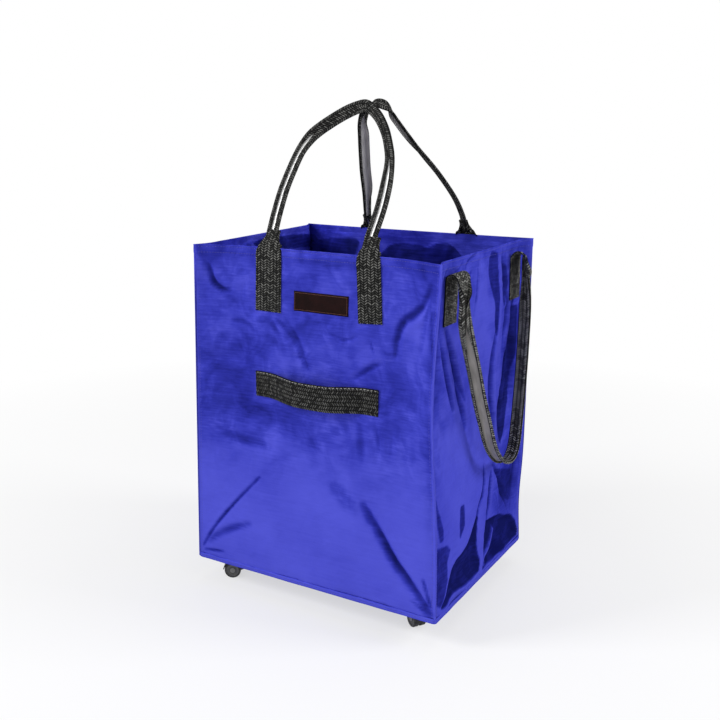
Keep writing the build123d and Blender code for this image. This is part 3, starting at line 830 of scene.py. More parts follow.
# What is sewn flat on a wall: middle, height from the foot, half width and half height
PATCH_SEWN = (PATCH_ACROSS, WALL_RISE - PATCH_BELOW_RIM, 48.0, 17.0)
SEWN_FLAT = {
    "front": tab_sewn("front") + grab_sewn("front") + [PATCH_SEWN],
    "back": tab_sewn("back") + grab_sewn("back"),
    "right": pull_sewn(1),
    "left": pull_sewn(-1),
}


def eased(line, closed=False):
    """A line with its corners cut, so that it runs smoothly; a closed outline keeps sharper corners."""
    points = np.array(line, float)
    cuts, share = (1, 0.1) if closed else (2, 0.25)
    for _ in range(cuts):
        before = points if closed else points[:-1]
        after = np.roll(points, -1, axis=0) if closed else points[1:]
        near = (1 - share) * before + share * after
        far = share * before + (1 - share) * after
        cut = np.stack([near, far], axis=1).reshape(-1, 2)
        points = cut if closed else np.vstack([points[:1], cut, points[-1:]])
    return [tuple(place) for place in points]


def line_distance(x, z, line):
    """Distance to a line of points, which side of it, and how far along it, from 0 to 1."""
    line = np.array(line, float)
    best = np.full_like(x, 1e9)
    side = np.zeros_like(x)
    along = np.zeros_like(x)
    starts = length_along(line)
    for a, b, start, end in zip(line, line[1:], starts, starts[1:]):
        run = end - start
        step = (b - a) / run
        t = np.clip((x - a[0]) * step[0] + (z - a[1]) * step[1], 0.0, run)
        px, pz = x - a[0] - step[0] * t, z - a[1] - step[1] * t
        d = np.hypot(px, pz)
        near = d < best
        best = np.where(near, d, best)
        side = np.where(near, np.sign(step[0] * pz - step[1] * px), side)
        along = np.where(near, (start + t) / starts[-1], along)
    return best, side, along


def depth_inside(x, z, outline):
    """Distance into a closed outline, negative outside it."""
    away, _, _ = line_distance(x, z, outline + outline[:1])
    inside = np.zeros(x.shape, bool)
    for (x0, z0), (x1, z1) in zip(outline, outline[1:] + outline[:1]):
        if z0 == z1:
            continue
        crosses = (z0 > z) != (z1 > z)
        inside ^= crosses & (x < (x1 - x0) * (z - z0) / (z1 - z0) + x0)
    return np.where(inside, away, -away)


# Broad painted reflections and shade of a wall, where the foil mirrors something darker or paler: middle,
# reach and how dark
FRONT_PAINTED_LIGHT = [
    (-153, 290, 70, 72, 0.22),
    (-111, 356, 48, 26, 0.14),
    (7, 400, 58, 30, 0.18),
    (-102, 258, 66, 16, 0.2),
    (-36, 252, 42, 22, 0.14),
    (130, 318, 26, 55, 0.24),
    (116, 275, 9, 50, 0.14),
    (-137, 489, 62, 13, 0.2),
    (28, 484, 60, 6, 0.22),
    (172, 488, 40, 10, 0.2),
    (193, 342, 7, 160, 0.2),
    (-64, 340, 42, 26, -0.1),
    (59, 362, 48, 36, -0.1),
    (-154, 378, 40, 22, -0.1),
    (158, 403, 24, 55, -0.12),
]
RIGHT_PAINTED_LIGHT = [
    (0, 500, 240, 60, 0.1),
    (122, 330, 42, 170, 0.22),
    (-148, 350, 26, 190, 0.16),
    (-95, 250, 60, 60, -0.06),
    (5, 410, 24, 120, -0.12),
    (62, 440, 9, 60, -0.1),
    (102, 112, 48, 62, 0.55),
]
WALL_PAINTED_LIGHT = {"front": FRONT_PAINTED_LIGHT, "right": RIGHT_PAINTED_LIGHT, "back": FRONT_PAINTED_LIGHT, "left": RIGHT_PAINTED_LIGHT}


def wall_painted_shade(side, x, z, seed):
    """Painted shade of the foil before any fold: darker towards the rim, mottled like small dents, with the
    wall's broad painted reflections.
    """
    if side in ("front", "back"):
        tone = 0.2 * smooth(110.0, 300.0, z)
    else:
        tone = 0.01 + 0.06 * smooth(150.0, 300.0, z)
    for middle, up, wide, high, dark in WALL_PAINTED_LIGHT[side]:
        tone = tone + dark * bell(x - middle, wide) * bell(z - up, high)
    # Mottled painted shade like that of small dents, stronger towards the rim
    dent_shade = 0.5 * drift(x / 30.0, z / 26.0, seed + 3) + 0.5 * drift(x / 13.0, z / 16.0, seed + 4)
    crumple = 0.15 + smooth(120.0, 380.0, z)
    return np.clip(tone + 0.13 * dent_shade * crumple, 0.0, 1.0)


def wall_ends(side, z):
    """How far along a wall its two corners stand at each height."""
    return [corner_line(corner, np.asarray(z, float)) @ ALONG[side][:2] for corner in WALL_CORNERS[side]]


def true_place(side, x, z):
    """Where a point of the wall's grid really stands along the wall."""
    left, right = wall_ends(side, z)
    return left + (right - left) * (x + half_of(side)) / (2 * half_of(side))


def grid_place(side, place, z):
    """The grid coordinate of a real place along the wall."""
    left, right = wall_ends(side, z)
    return (place - left) / (right - left) * 2 * half_of(side) - half_of(side)


def wall_relief(side, across, z):
    """How far the cloth stands off its straight wall, and the painted shade of its folds."""
    x = true_place(side, across, z)
    seed = 100 * (1 + SIDES.index(side))
    if side in ("left", "right"):
        relief = 4.0 * drift(x / 46.0 + 7.0, z / 230.0 + 3.0, seed)
        relief += 1.6 * drift(x / 21.0, z / 120.0, seed + 1)
    else:
        relief = 2.4 * drift(x / 95.0 + 5.0, z / 110.0 + 2.0, seed)
        relief += 0.8 * drift(x / 37.0, z / 45.0, seed + 1)
    shade = wall_painted_shade(side, x, z, seed)
    # Painted shade along each fold and inside each facet, lifted on the lit ridges
    for line, width, depth, dark in WALL_FOLDS[side]:
        away, hand, along = line_distance(x, z, eased(line))
        fade = np.sin(np.pi * np.clip(0.06 + 0.88 * along, 0.0, 1.0)) ** 0.6
        ridge = bell(away - 1.7 * width, width) * (hand > 0)
        relief += fade * depth * (0.45 * ridge - bell(away, width))
        shade = np.maximum(shade, fade * dark * bell(away, 0.85 * width))
    for outline, soft, depth, dark in WALL_FACETS[side]:
        inner = depth_inside(x, z, eased(outline, closed=True))
        relief -= depth * smooth(-soft, 4.0 * soft, inner)
        shade = np.maximum(shade, dark * smooth(-0.4 * soft, 0.4 * soft, inner))
    for line, width, height in WALL_RIDGES[side]:
        away, _, _ = line_distance(x, z, eased(line))
        crest = bell(away, width)
        relief += height * crest
        shade *= 1.0 - crest
    from_edge = half_of(side) - np.abs(across)
    free = smooth(0.0, 16.0, from_edge) * smooth(0.0, 12.0, z) * smooth(0.0, 16.0, WALL_RISE - z)
    for middle, up, half_width, half_height in SEWN_FLAT[side]:
        beyond = np.maximum(np.abs(x - middle) - half_width, np.abs(z - up) - half_height)
        free = free * smooth(-2.0, 14.0, beyond)
    fine = 0.35 * drift(x / 9.0, z / 7.0, seed + 2)
    return relief * free + fine * smooth(0.0, 6.0, from_edge), shade * smooth(0.0, 5.0, from_edge)


def wall_point(side, x, z, stand):
    """A place on a wall's straight shape: x along it, z up from its foot, stand outwards."""
    half = half_of(side)
    left, right = (corner_line(corner, np.asarray(z, float)) for corner in WALL_CORNERS[side])
    share = ((np.asarray(x, float) + half) / (2 * half))[..., None]
    ground = left * (1 - share) + right * share
    reach = np.clip((half - np.abs(x)) / (half - FLAT[side] / 2), 0.0, 1.0)
    inward = BOW[side] * (z / WALL_RISE) * np.sin(reach * np.pi / 2) - stand
    flat = np.concatenate([ground, (WALL_FOOT + z)[..., None]], axis=-1)
    return flat - inward[..., None] * OUT[side]


def hem_lift(z):
    """How far the doubled hem stands off the wall."""
    return HEM_LIFT * (1 - smooth(HEM - HEM_EDGE, HEM + HEM_EDGE, WALL_RISE - z))


def edge_steps(length, step):
    """Grid lines along a wall, closer at both ends."""
    near = np.array([0.0, 0.9, 2.2])
    inset = 4.0
    count = max(2, int(round((length - 2 * inset) / step)))
    return np.concatenate([near, np.linspace(inset, length - inset, count), length - near[::-1]])


def bag_wall(side):
    """One sewn wall with its folds, hem and pinched corner seams."""
    half = half_of(side)
    across = edge_steps(2 * half, CLOTH_STEP[side]) - half
    up = edge_steps(WALL_RISE, CLOTH_STEP[side])
    z, x = np.meshgrid(up, across, indexing="ij")
    relief, shade = wall_relief(side, x, z)
    hem = hem_lift(z)
    for row in HEM_ROWS:
        hem = hem - 0.3 * bell(WALL_RISE - z - row, 1.0)
    from_edge = half - np.abs(x)
    pinch = 1.9 * bell(from_edge, 1.5) - 0.7 * bell(from_edge - 5.0, 1.6)
    lean = np.sign(x)[..., None] * ALONG[side] + OUT[side]
    points = wall_point(side, x, z, relief + hem) + (pinch / math.sqrt(2.0))[..., None] * lean
    apart = WALL_MAP * SIDES.index(side)
    uv = np.stack([x.ravel() + half + apart, z.ravel()], axis=1)
    points, faces = points.reshape(-1, 3), grid_faces(*x.shape)
    obj = new_piece(f"{side}_wall", points, faces, [foil, foil_inside_painted_light], uv, fold_shade=shade)
    thicken(obj, CLOTH, -1.0, 1)
    belongs(obj, "bag", f"{side}_panel")


def on_cloth(side, x, z, lift):
    """Points just above a wall's cloth."""
    relief, _ = wall_relief(side, x, z)
    return wall_point(side, x, z, relief + hem_lift(z) + lift)


def wall_stitches():
    """The rows of the hem and of the corner seams."""
    hem_lines = []
    seam_lines = []
    for side in SIDES:
        half = half_of(side)
        x = np.linspace(-half + 6.0, half - 6.0, 120)
        for row in HEM_ROWS:
            hem_lines.append(on_cloth(side, x, np.full_like(x, WALL_RISE - row), 0.0))
        z = np.linspace(8.0, WALL_RISE - 14.0, 140)
        for hand in (-1, 1):
            seam_lines.append(on_cloth(side, np.full_like(z, hand * (half - 5.0)), z, -0.35))
    for name, lines in (("hem_stitches", hem_lines), ("corner_seam_stitches", seam_lines)):
        stitched(name, lines, blue_thread, HEM_STITCH)


for side in SIDES:
    bag_wall(side)
wall_stitches()

# Bag floor and the bound seam round it. The binding's section, out and up, and the shade of each place
BINDING_SECTION = [(-0.3, 0.0), (0.8, -0.3), (1.6, 0.5), (1.9, 3.4)]
BINDING_SECTION += [(1.5, 6.6), (0.9, 7.9), (-0.2, 8.0), (-0.8, 4.0)]
BINDING_SHADES = [0.5, 0.3, 0.05, 0.0, 0.0, 0.25, 0.4, 0.4]
BINDING_STEPS = 560
# Where the binding is sewn, out and up
BINDING_SEWN = (1.95, 4.6)
FOOT_ROUND = 3.0
FLOOR_RISE = 1.35
FLOOR_CLOTH = 1.0
FLOOR_MAP = 2500.0


def foot_ring():
    """The bag's outline at its foot, with small rounded corners."""
    ring = []
    for (name, (across, along)), turn in zip(CORNERS.items(), (180, 270, 0, 90)):
        middle = corner_line(name, np.zeros(1))[0] - FOOT_ROUND * np.array([across, along])
        for angle in np.radians(np.linspace(turn, turn + 90, 7)):
            ring.append(middle + FOOT_ROUND * np.array([math.cos(angle), math.sin(angle)]))
    return np.array(ring + ring[:1])


def bottom_seam():
    """A folded binding sewn round the bottom edge."""
    ring = foot_ring()
    around = length_along(ring)[-1]
    line = even_points(ring, BINDING_STEPS, ring=True)
    tangent = units(np.roll(line, -1, axis=0) - np.roll(line, 1, axis=0))
    normal = np.stack([tangent[:, 1], -tangent[:, 0]], axis=1)
    normal *= np.sign(((line - line.mean(axis=0)) * normal).sum(axis=1))[:, None]
    run = np.linspace(0.0, around, BINDING_STEPS, endpoint=False)
    wave = 0.25 * drift(run / 24.0, np.zeros(BINDING_STEPS), seed=5)
    rings = []
    for out, up in BINDING_SECTION:
        ground = line + normal * (out + wave)[:, None]
        rise = BAG_FOOT + up + 0.25 * drift(run / 31.0, np.full(BINDING_STEPS, up), seed=6)
        rings.append(np.concatenate([ground, rise[:, None]], axis=1))
    points = np.stack(rings, axis=1)
    sides = len(BINDING_SECTION)
    faces = []
    for i in range(BINDING_STEPS):
        here, there = i * sides, (i + 1) % BINDING_STEPS * sides
        for j in range(sides):
            n = (j + 1) % sides
            faces.append((here + j, there + j, there + n, here + n))
    girth = length_along(np.array(BINDING_SECTION))
    uv = np.stack([np.repeat(run, sides), np.tile(girth, BINDING_STEPS)], axis=1)
    shade = np.tile(BINDING_SHADES, BINDING_STEPS)
    obj = new_piece("bottom_seam", points.reshape(-1, 3), faces, [foil], uv, fold_shade=shade)
    belongs(obj, "bag", "bottom_binding")
    out, up = BINDING_SEWN
    sewn = np.concatenate([line + normal * out, np.full((BINDING_STEPS, 1), BAG_FOOT + up)], axis=1)
    stitched("bottom_seam_stitches", [sewn], blue_thread, BINDING_STITCH)


def bag_floor():
    """The fabric under the base board, slack by a hair between the caster plates."""
    columns, rows = 84, 66
    edge = 1.0
    x = np.linspace(-HALF_WIDTH + edge, HALF_WIDTH - edge, columns)
    y = np.linspace(-HALF_DEPTH + edge, HALF_DEPTH - edge, rows)
    yy, xx = np.meshgrid(y, x, indexing="ij")
    height = BAG_FOOT + FLOOR_RISE + 0.2 * drift(xx / 40.0, yy / 40.0, seed=71)
    points = np.stack([xx, yy, height], axis=-1).reshape(-1, 3)
    # Mottled painted shade on the floor cloth
    shade = 0.25 + 0.2 * drift(xx / 25.0, yy / 25.0, seed=72)
    uv = np.stack([xx.ravel() + FLOOR_MAP, yy.ravel()], axis=1)
    faces = grid_faces(rows, columns)
    obj = new_piece("bag_floor", points, faces, [foil_inside_painted_light, foil], uv, fold_shade=shade)
    thicken(obj, FLOOR_CLOTH, -1.0, 1)
    belongs(obj, "bag", "bottom_panel")


bottom_seam()
bag_floor()

# Straps, and where their maps and their sewn boxes begin
STRAP_MAP = 200.0
BOX_INSET = 3.0


def half_section(base_half, lip, curl, radius, count=9):
    """One half across a strap whose edge curls over: distance across, place and height."""
    curl = max(curl, 1e-3)
    flat = np.linspace(0.0, base_half, count)
    angle = np.linspace(0.0, curl, count)[1:]
    tail = np.linspace(0.0, lip, 5)[1:]
    end = base_half + radius * curl
    u = np.concatenate([flat, base_half + radius * angle, end + tail])
    w = np.concatenate([flat, base_half + radius * np.sin(angle)])
    n = np.concatenate([np.zeros(count), radius * (1 - np.cos(angle))])
    w = np.concatenate([w, w[-1] + tail * math.cos(curl)])
    n = np.concatenate([n, n[-1] + tail * math.sin(curl)])
    return u, w, n


def folded_section(base_half, lip, curl, radius, inner_curl=None):
    """A whole section; the lip towards the inside of a loop may be curled less."""
    outer = half_section(base_half, lip, curl, radius)
    inner = outer
    if inner_curl is not None:
        spare = radius * (curl - inner_curl)
        inner = half_section(base_half, lip + spare, inner_curl, radius)
    signs = (-1.0, -1.0, 1.0)
    return [np.concatenate([sign * a[:0:-1], b]) for sign, a, b in zip(signs, outer, inner)]


def strap(name, path, opening, sections, materials, skins=None):
    """A strap along a path, open or lined on the side its opening points to."""
    tangent = units(np.gradient(path, axis=0))
    normal = units(opening - (opening * tangent).sum(axis=1)[:, None] * tangent)
    width = np.cross(tangent, normal)
    points, uv = [], []
    for place, n, w, section, v in zip(path, normal, width, sections, length_along(path)):
        across, aside, high = section
        points.append(place + aside[:, None] * w + high[:, None] * n)
        uv.append(np.stack([across + STRAP_MAP, np.full_like(across, v)], axis=1))
    rows, columns = len(path), len(sections[0][0])
    if skins is not None:
        skins = np.repeat(skins[: rows - 1], columns - 1)
    faces = grid_faces(rows, columns, flip=True)
    obj = new_piece(name, np.concatenate(points), faces, materials, np.concatenate(uv), skins)
    thicken(obj, WEBBING, 0.0, 1)
    return obj, normal, width


def bends(obj, node):
    """Bakes the webbing's placing into its mesh, in place of a node."""
    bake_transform(obj)
    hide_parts(node)


def box_lines(origin, along, up, out, half_width, low, high):
    """A rectangle of stitching with a cross in it."""
    a, b, c, d = (-half_width, low), (half_width, low), (half_width, high), (-half_width, high)
    lines = []
    for shape in ((a, b, c, d, a), (a, c), (b, d)):
        corners = np.array([origin + along * x + up * z + out for x, z in shape])
        lines.append(along_sides(corners, 12))
    return lines


# A handle's middle line: place across the bag and distance from its fold
FRONT_ROUTE = [(-80.5, 10), (-83, 30), (-85.6, 58), (-87, 91), (-85.3, 120), (-81.5, 151)]
FRONT_ROUTE += [(-75, 172), (-65.5, 188), (-46, 206), (-24, 222), (-5, 231.5), (7, 233.5)]
FRONT_ROUTE += [(21.5, 225), (36.5, 211), (52, 190), (64, 167), (72, 146), (77, 119)]
FRONT_ROUTE += [(80, 90), (80.8, 65), (80, 43), (79.5, 29), (80.5, 10)]
BACK_ROUTE = [(-78, 10), (-75.5, 30), (-64, 72), (-55, 115), (-48, 143), (-37, 183)]
BACK_ROUTE += [(-28.5, 209), (-14, 231), (7, 240), (24, 231), (33, 212), (44, 186)]
BACK_ROUTE += [(55, 159.5), (77, 117), (93.5, 74), (99, 43), (99, 24), (97, 10)]
HANDLE_ROUTES = {"front": FRONT_ROUTE, "back": BACK_ROUTE}
GRIP_STEPS = 240
GRIP_BEND = 1.2
GRIP_SET_BACK = 2.6
# Half the flat part of a tab's neck above the rim, and how round its edges curl
TAB_NECKS = {"front": (7.8, 2.1), "back": (5.0, 1.7)}
TAB_CURL = 0.96 * math.pi
TAB_ROWS = 30
TAB_STEPS = 90
TAB_BOX = 34.0
# Where a tab's free end runs beyond the fold, and where it starts and ends its bend above the rim
TAB_FREE = (5.0, 27.0)


def handle_frame(side):
    """Where a handle folds, which way it rises and which way it faces."""
    way = -1.0 if side == "front" else 1.0
    rise = np.array([0.0, -way * math.sin(HANDLE_LEAN), math.cos(HANDLE_LEAN)])
    face = np.array([0.0, way * math.cos(HANDLE_LEAN), math.sin(HANDLE_LEAN)])
    return hinge_at[f"{side}_handle_fold"], rise, face


def front_grip(share):
    """How the front grip turns, gapes, widens and curls along its length; its crown is closed."""
    turn = -24.0 * stretch(share, 0.27, 0.36, 0.66, 0.82)
    gap = 5.0 - 4.7 * stretch(share, 0.31, 0.355, 0.70, 0.80)
    half = 7.8 - 1.6 * stretch(share, 0.46, 0.56, 0.72, 0.84)
    return turn, gap, half, np.full_like(share, math.pi)


def back_grip(share):
    """The same of the back grip, which twists over at the crown and gapes on both limbs."""
    crown = stretch(share, 0.44, 0.49, 0.515, 0.56)
    turn = 240.0 - 14.0 * smooth(0.36, 0.48, share) - 20.0 * smooth(0.6, 0.75, share) + 52.0 * crown
    gap = 7.0 - 6.7 * smooth(0.39, 0.45, share)
    half = 4.8 + 1.4 * stretch(share, 0.02, 0.12, 0.62, 0.8) + 0.8 * crown
    opened = 0.66 * stretch(share, 0.06, 0.17, 0.33, 0.45) + 0.34 * stretch(share, 0.53, 0.57, 0.6, 0.74)
    return turn, gap, half, math.pi * (1 - opened)


# Each grip's form, its lining (the back grip's a darker copy in painted shade), and on which of its edges
# the seam shows
GRIPS = {"front": (front_grip, silver_lining, (-1, 1)), "back": (back_grip, back_grip_shaded_lining, (-1,))}


def handle_grip(side):
    """The held part of a carry handle: webbing folded along its length."""
    form, lining, sewn_edges = GRIPS[side]
    hinge, rise, face = handle_frame(side)
    route = curve_through(HANDLE_ROUTES[side], GRIP_STEPS)
    path = hinge + route[:, :1] * ACROSS + route[:, 1:] * rise - GRIP_SET_BACK * face
    step = units(np.gradient(route, axis=0))
    spread = -step[:, 1:] * ACROSS + step[:, :1] * rise
    turn, gap, half, inner_curl = form(np.linspace(0.0, 1.0, GRIP_STEPS))
    turn = np.radians(turn)[:, None]
    opening = np.cos(turn) * face + np.sin(turn) * spread
    shapes = zip(half, gap, inner_curl)
    sections = [folded_section(h, h - g / 2, math.pi, GRIP_BEND, inner) for h, g, inner in shapes]
    obj, normal, width = strap(f"{side}_handle_grip", path, opening, sections, [herringbone, lining])
    belongs(obj, f"{side}_handle_loop", f"{side}_handle")
    lines = []
    for hand in sewn_edges:
        aside = hand * (half + GRIP_BEND - 2.4)
        line = path + aside[:, None] * width + (2 * GRIP_BEND + WEBBING / 2) * normal
        lines.append(line[12:-12])
    stitched(f"{side}_handle_stitches", lines, black_thread, GRIP_STITCH, f"{side}_handle_loop")


def handle_tab(side, hand):
    """A sewn tab that narrows above the rim and wraps the foot of the grip."""
    hinge, rise, face = handle_frame(side)
    out, way = OUT[side], ALONG[side][0]
    low_x, high_x = TAB_PLACES[side][hand]
    z = np.linspace(WALL_RISE - HANDLE_TAB, WALL_RISE - 3.0, TAB_ROWS)
    x = np.linspace(low_x, high_x, TAB_ROWS) * way
    lift = TAB_STAND + 0.8 * smooth(WALL_RISE - 30.0, WALL_RISE, z)
    sewn = wall_point(side, grid_place(side, x, z), z, lift)
    reach = np.linspace(*TAB_FREE, 22)
    free = hinge + high_x * ACROSS + reach[:, None] * rise + 0.2 * face
    path = curve_through(np.vstack([sewn[::3], free[::3], free[-1:]]), TAB_STEPS)
    above = length_along(path) - (HANDLE_TAB - 1.0)
    blend = smooth(-8.0, 8.0, above)[:, None]
    opening = -out * (1 - blend) - face * blend
    wide = TAB_WIDTHS[side][hand] / 2
    neck, radius = TAB_NECKS[side]
    sections = []
    for t in smooth(-12.0, 25.0, above):
        base = wide - t * (wide - neck)
        curl = TAB_CURL * t
        lip = max(0.4, min(wide - base - radius * curl, neck - 1.0))
        sections.append(folded_section(base, lip, curl, radius))
    name = "left" if hand * way < 0 else "right"
    obj, _, _ = strap(f"{side}_handle_tab_{name}_cloth", path, opening, sections, [herringbone] * 2)
    bends(obj, f"{side}_handle_tab_{name}")
    up = (sewn[-1] - sewn[0]) / np.linalg.norm(sewn[-1] - sewn[0])
    return box_lines(sewn[0], ACROSS, up, out * WEBBING_FACE, wide - BOX_INSET, BOX_INSET, TAB_BOX)


for side in ("front", "back"):
    handle_grip(side)
    sewing = handle_tab(side, -1) + handle_tab(side, 1)
    stitched(f"{side}_tab_stitches", sewing, black_thread, BOX_STITCH)

# How far a grab strap's middle hangs, where it leaves the wall, in from its end, and how it is cupped
GRAB_DIP = {"front": 3.0, "back": 1.5}
GRAB_SEWN = 18.0
GRAB_CUP = 0.18
GRAB_CUP_RADIUS = 18.0
GRAB_STEPS = 100


def grab_handle(side):
    """A strap sewn at both ends that bulges off the wall and dips a little."""
    out = OUT[side]
    low, high = box_of(f"{side}_grab_strap")
    reach = max(abs(low[1]), abs(high[1]))
    x = np.linspace(-GRAB_HALF, GRAB_HALF, GRAB_STEPS)
    height = np.full_like(x, WALL_RISE - GRAB_BELOW_RIM)
    place = grid_place(side, x + GRAB_ACROSS[side], height)
    seat = wall_point(side, place, height, np.full_like(x, TAB_STAND))
    bulge = max(reach - abs(seat[GRAB_STEPS // 2, 1]) - 1.4, 2.0)
    loose = GRAB_HALF - GRAB_SEWN - np.abs(x)
    slack = smooth(0.0, 62.0, loose)
    dip = GRAB_DIP[side] * smooth(0.0, 85.0, loose)
    path = seat + (bulge * slack)[:, None] * out - dip[:, None] * UP
    opening = np.tile(-out, (GRAB_STEPS, 1))
    half = WEBBING_WIDTH / 2
    sections = []
    for share in slack:
        across, aside, hollow = folded_section(half - 4.0, 0.4, GRAB_CUP * share, GRAB_CUP_RADIUS)
        scale = half / np.abs(aside).max()
        sections.append((across * scale, aside * scale, hollow))
    obj, _, _ = strap(f"{side}_grab_handle", path, opening, sections, [grab_herringbone] * 2)
    belongs(obj, "bag", f"{side}_grab_strap")
    lines = []
    inner = half - BOX_INSET
    for end in (9, -10):
        lines += box_lines(seat[end], ALONG[side], UP, out * WEBBING_FACE, 6.0, -inner, inner)
    stitched(f"{side}_grab_stitches", lines, black_thread, BOX_STITCH)
    edge = path + (half - 1.8) * UP + WEBBING_FACE * out
    stitched(f"{side}_grab_top_stitches", [edge[2:-2]], grey_thread, GRAB_EDGE_STITCH)


for side in ("front", "back"):
    grab_handle(side)

# The hanging loop of a pull strap: place along the wall and distance below its fold
PULL_LOOP = [(-106, 0), (-107.5, 25), (-106, 56), (-93.5, 91), (-79, 129), (-65.5, 168), (-47, 210)]
PULL_LOOP += [(-26, 252), (0, 279), (26, 290), (47, 287), (61, 272), (72, 243), (83, 207)]
PULL_LOOP += [(95.5, 160), (106, 113), (113, 73), (116, 36), (115, 0)]
PULL_STEPS = 240
PULL_TAB_ROWS = 16
PULL_TURN_ROWS = 20
PULL_BOX = 30.0
# How far down the loop its lining starts to show
PULL_LINED = 46.0
# How far the loop hangs off its hinge, how it splays, and how its two ends twist in degrees
PULL_HANG = 6.0
PULL_SPLAY = math.radians(3.3)
PULL_TWISTS = (0.0, 30.0)
PULL_HALF = 7.8
PULL_BEND = 1.5
# Where the turned-over end starts to follow the loop and where it follows fully, from its hinge; these
# places are worked out but not used
TURN_BENDS = np.array([(-6.4, 0.0, 3.2), (4.8, 0.0, -2.4)])


def pull_end(place, twist):
    """A right tab from its foot upwards, then the turn over to the hanging loop, twisting as it goes."""
    hinge = hinge_at["right_pull_swing"]
    fold = hinge[2] - WALL_FOOT
    z = np.linspace(fold - PULL_TAB, fold, PULL_TAB_ROWS)
    tab_x = wall_point("right", np.full_like(z, place), z, np.full_like(z, TAB_STAND))[:, 0]
    radius = (hinge[0] + PULL_HANG - tab_x[-1]) / 2
    places = [(x, place, WALL_FOOT + level) for x, level in zip(tab_x, z)]
    ways = [-ACROSS] * PULL_TAB_ROWS
    for angle in np.linspace(0.0, math.pi, PULL_TURN_ROWS + 2)[1:-1]:
        x = tab_x[-1] + radius * (1 - math.cos(angle))
        places.append((x, place, hinge[2] + radius * math.sin(angle)))
        lean = math.radians(twist) * smooth(0.1 * math.pi, math.pi, angle)
        flat = -math.cos(angle) * ACROSS + math.sin(angle) * UP
        ways.append(math.cos(lean) * flat + math.sin(lean) * math.copysign(1.0, place) * DEEP)
    return np.array(places), np.array(ways)


def hanging_loop():
    """The right loop between its ends: its places, which way it opens and how far down it hangs."""
    hinge = hinge_at["right_pull_swing"]
    loop = curve_through(PULL_LOOP, PULL_STEPS)
    along, drop = loop[:, 0], loop[:, 1]
    step = units(np.gradient(loop, axis=0))
    places = np.stack([hinge[0] + PULL_HANG + drop * math.tan(PULL_SPLAY), along, hinge[2] - drop], axis=1)
    front_turn = 56.0 * smooth(10.0, 85.0, drop) + 28.0 * smooth(150.0, 288.0, drop)
    back_turn = PULL_TWISTS[1] + 54.0 * smooth(-5.0, 80.0, drop)
    is_front = np.arange(PULL_STEPS) <= drop.argmax()
    turn = np.radians(np.where(is_front, front_turn, back_turn))[:, None]
    aside = -step[:, 1:] * DEEP - step[:, :1] * UP
    return places, np.cos(turn) * ACROSS + np.sin(turn) * aside, drop


def pull_handle(side):
    """A pull strap: sewn tabs turn over outwards and run down into a folded loop."""
    mirror = np.array([1.0 if side == "right" else -1.0, 1.0, 1.0])
    (front_end, front_ways), (back_end, back_ways) = map(pull_end, PULL_PLACES, PULL_TWISTS)
    hung, hung_ways, hung_drop = hanging_loop()
    path = np.vstack([front_end, hung, back_end[::-1]]) * mirror
    opening = np.vstack([front_ways, hung_ways, back_ways[::-1]]) * mirror
    end_rows = np.concatenate([np.full(PULL_TAB_ROWS, -30.0), np.linspace(-25.0, 0.0, PULL_TURN_ROWS)])
    drop = np.concatenate([end_rows, hung_drop, end_rows[::-1]])
    half = WEBBING_WIDTH / 2
    sections = []
    for t, opened in zip(smooth(-14.0, 40.0, drop), smooth(52.0, 120.0, drop)):
        lip = 0.4 + 7.1 * t - 5.1 * opened
        sections.append(folded_section(half - t * (half - PULL_HALF), lip, math.pi * 0.98 * t, PULL_BEND))
    skins = np.where(drop > PULL_LINED, 0, 2)
    finishes = [pull_herringbone_lifted, pull_shaded_lining, pull_herringbone_lifted, pull_herringbone_lifted]
    for end, rows in (("front", slice(0, PULL_TAB_ROWS)), ("back", slice(-PULL_TAB_ROWS, None))):
        name = f"{side}_pull_{end}_tab"
        tab, _, _ = strap(name, path[rows], opening[rows], sections[rows], finishes, skins[rows])
        belongs(tab, "bag", f"{side}_pull_tab_{end}")
    free = slice(PULL_TAB_ROWS - 1, 1 - PULL_TAB_ROWS)
    path, opening, drop = path[free], opening[free], drop[free]
    obj, normal, width = strap(f"{side}_pull_handle", path, opening, sections[free], finishes, skins[free])
    hinge = hinge_at[f"{side}_pull_swing"]
    start, end = (hinge + mirror * place for place in TURN_BENDS)
    bends(obj, f"{side}_pull_strap")
    lines = []
    for hand in (-1, 1):
        inner = path + hand * (PULL_HALF + PULL_BEND - 2.0) * width + (2 * PULL_BEND + WEBBING / 2) * normal
        outer = path + hand * (PULL_HALF - 0.4) * width - WEBBING_FACE * normal
        lines += [inner[drop > 60.0], outer[drop > 20.0]]
    stitched(f"{side}_pull_stitches", lines, grey_thread, LOOP_STITCH, f"{side}_pull_loop")
    sewing = []
    out = ACROSS * mirror * WEBBING_FACE
    for foot in (front_end[0], back_end[0]):
        sewing += box_lines(foot * mirror, DEEP, UP, out, half - BOX_INSET, BOX_INSET, PULL_BOX)
    stitched(f"{side}_pull_tab_stitches", sewing, black_thread, BOX_STITCH)


for side in ("right", "left"):
    pull_handle(side)

# Bare patch
PATCH_BORDER = 2.2
PATCH_BACK = 0.6


def patch_place(x, z, stand):
    """Points of the patch on the front wall, from its middle."""
    up = z + WALL_RISE - PATCH_BELOW_RIM
    return wall_point("front", grid_place("front", x + PATCH_ACROSS, up), up, stand)


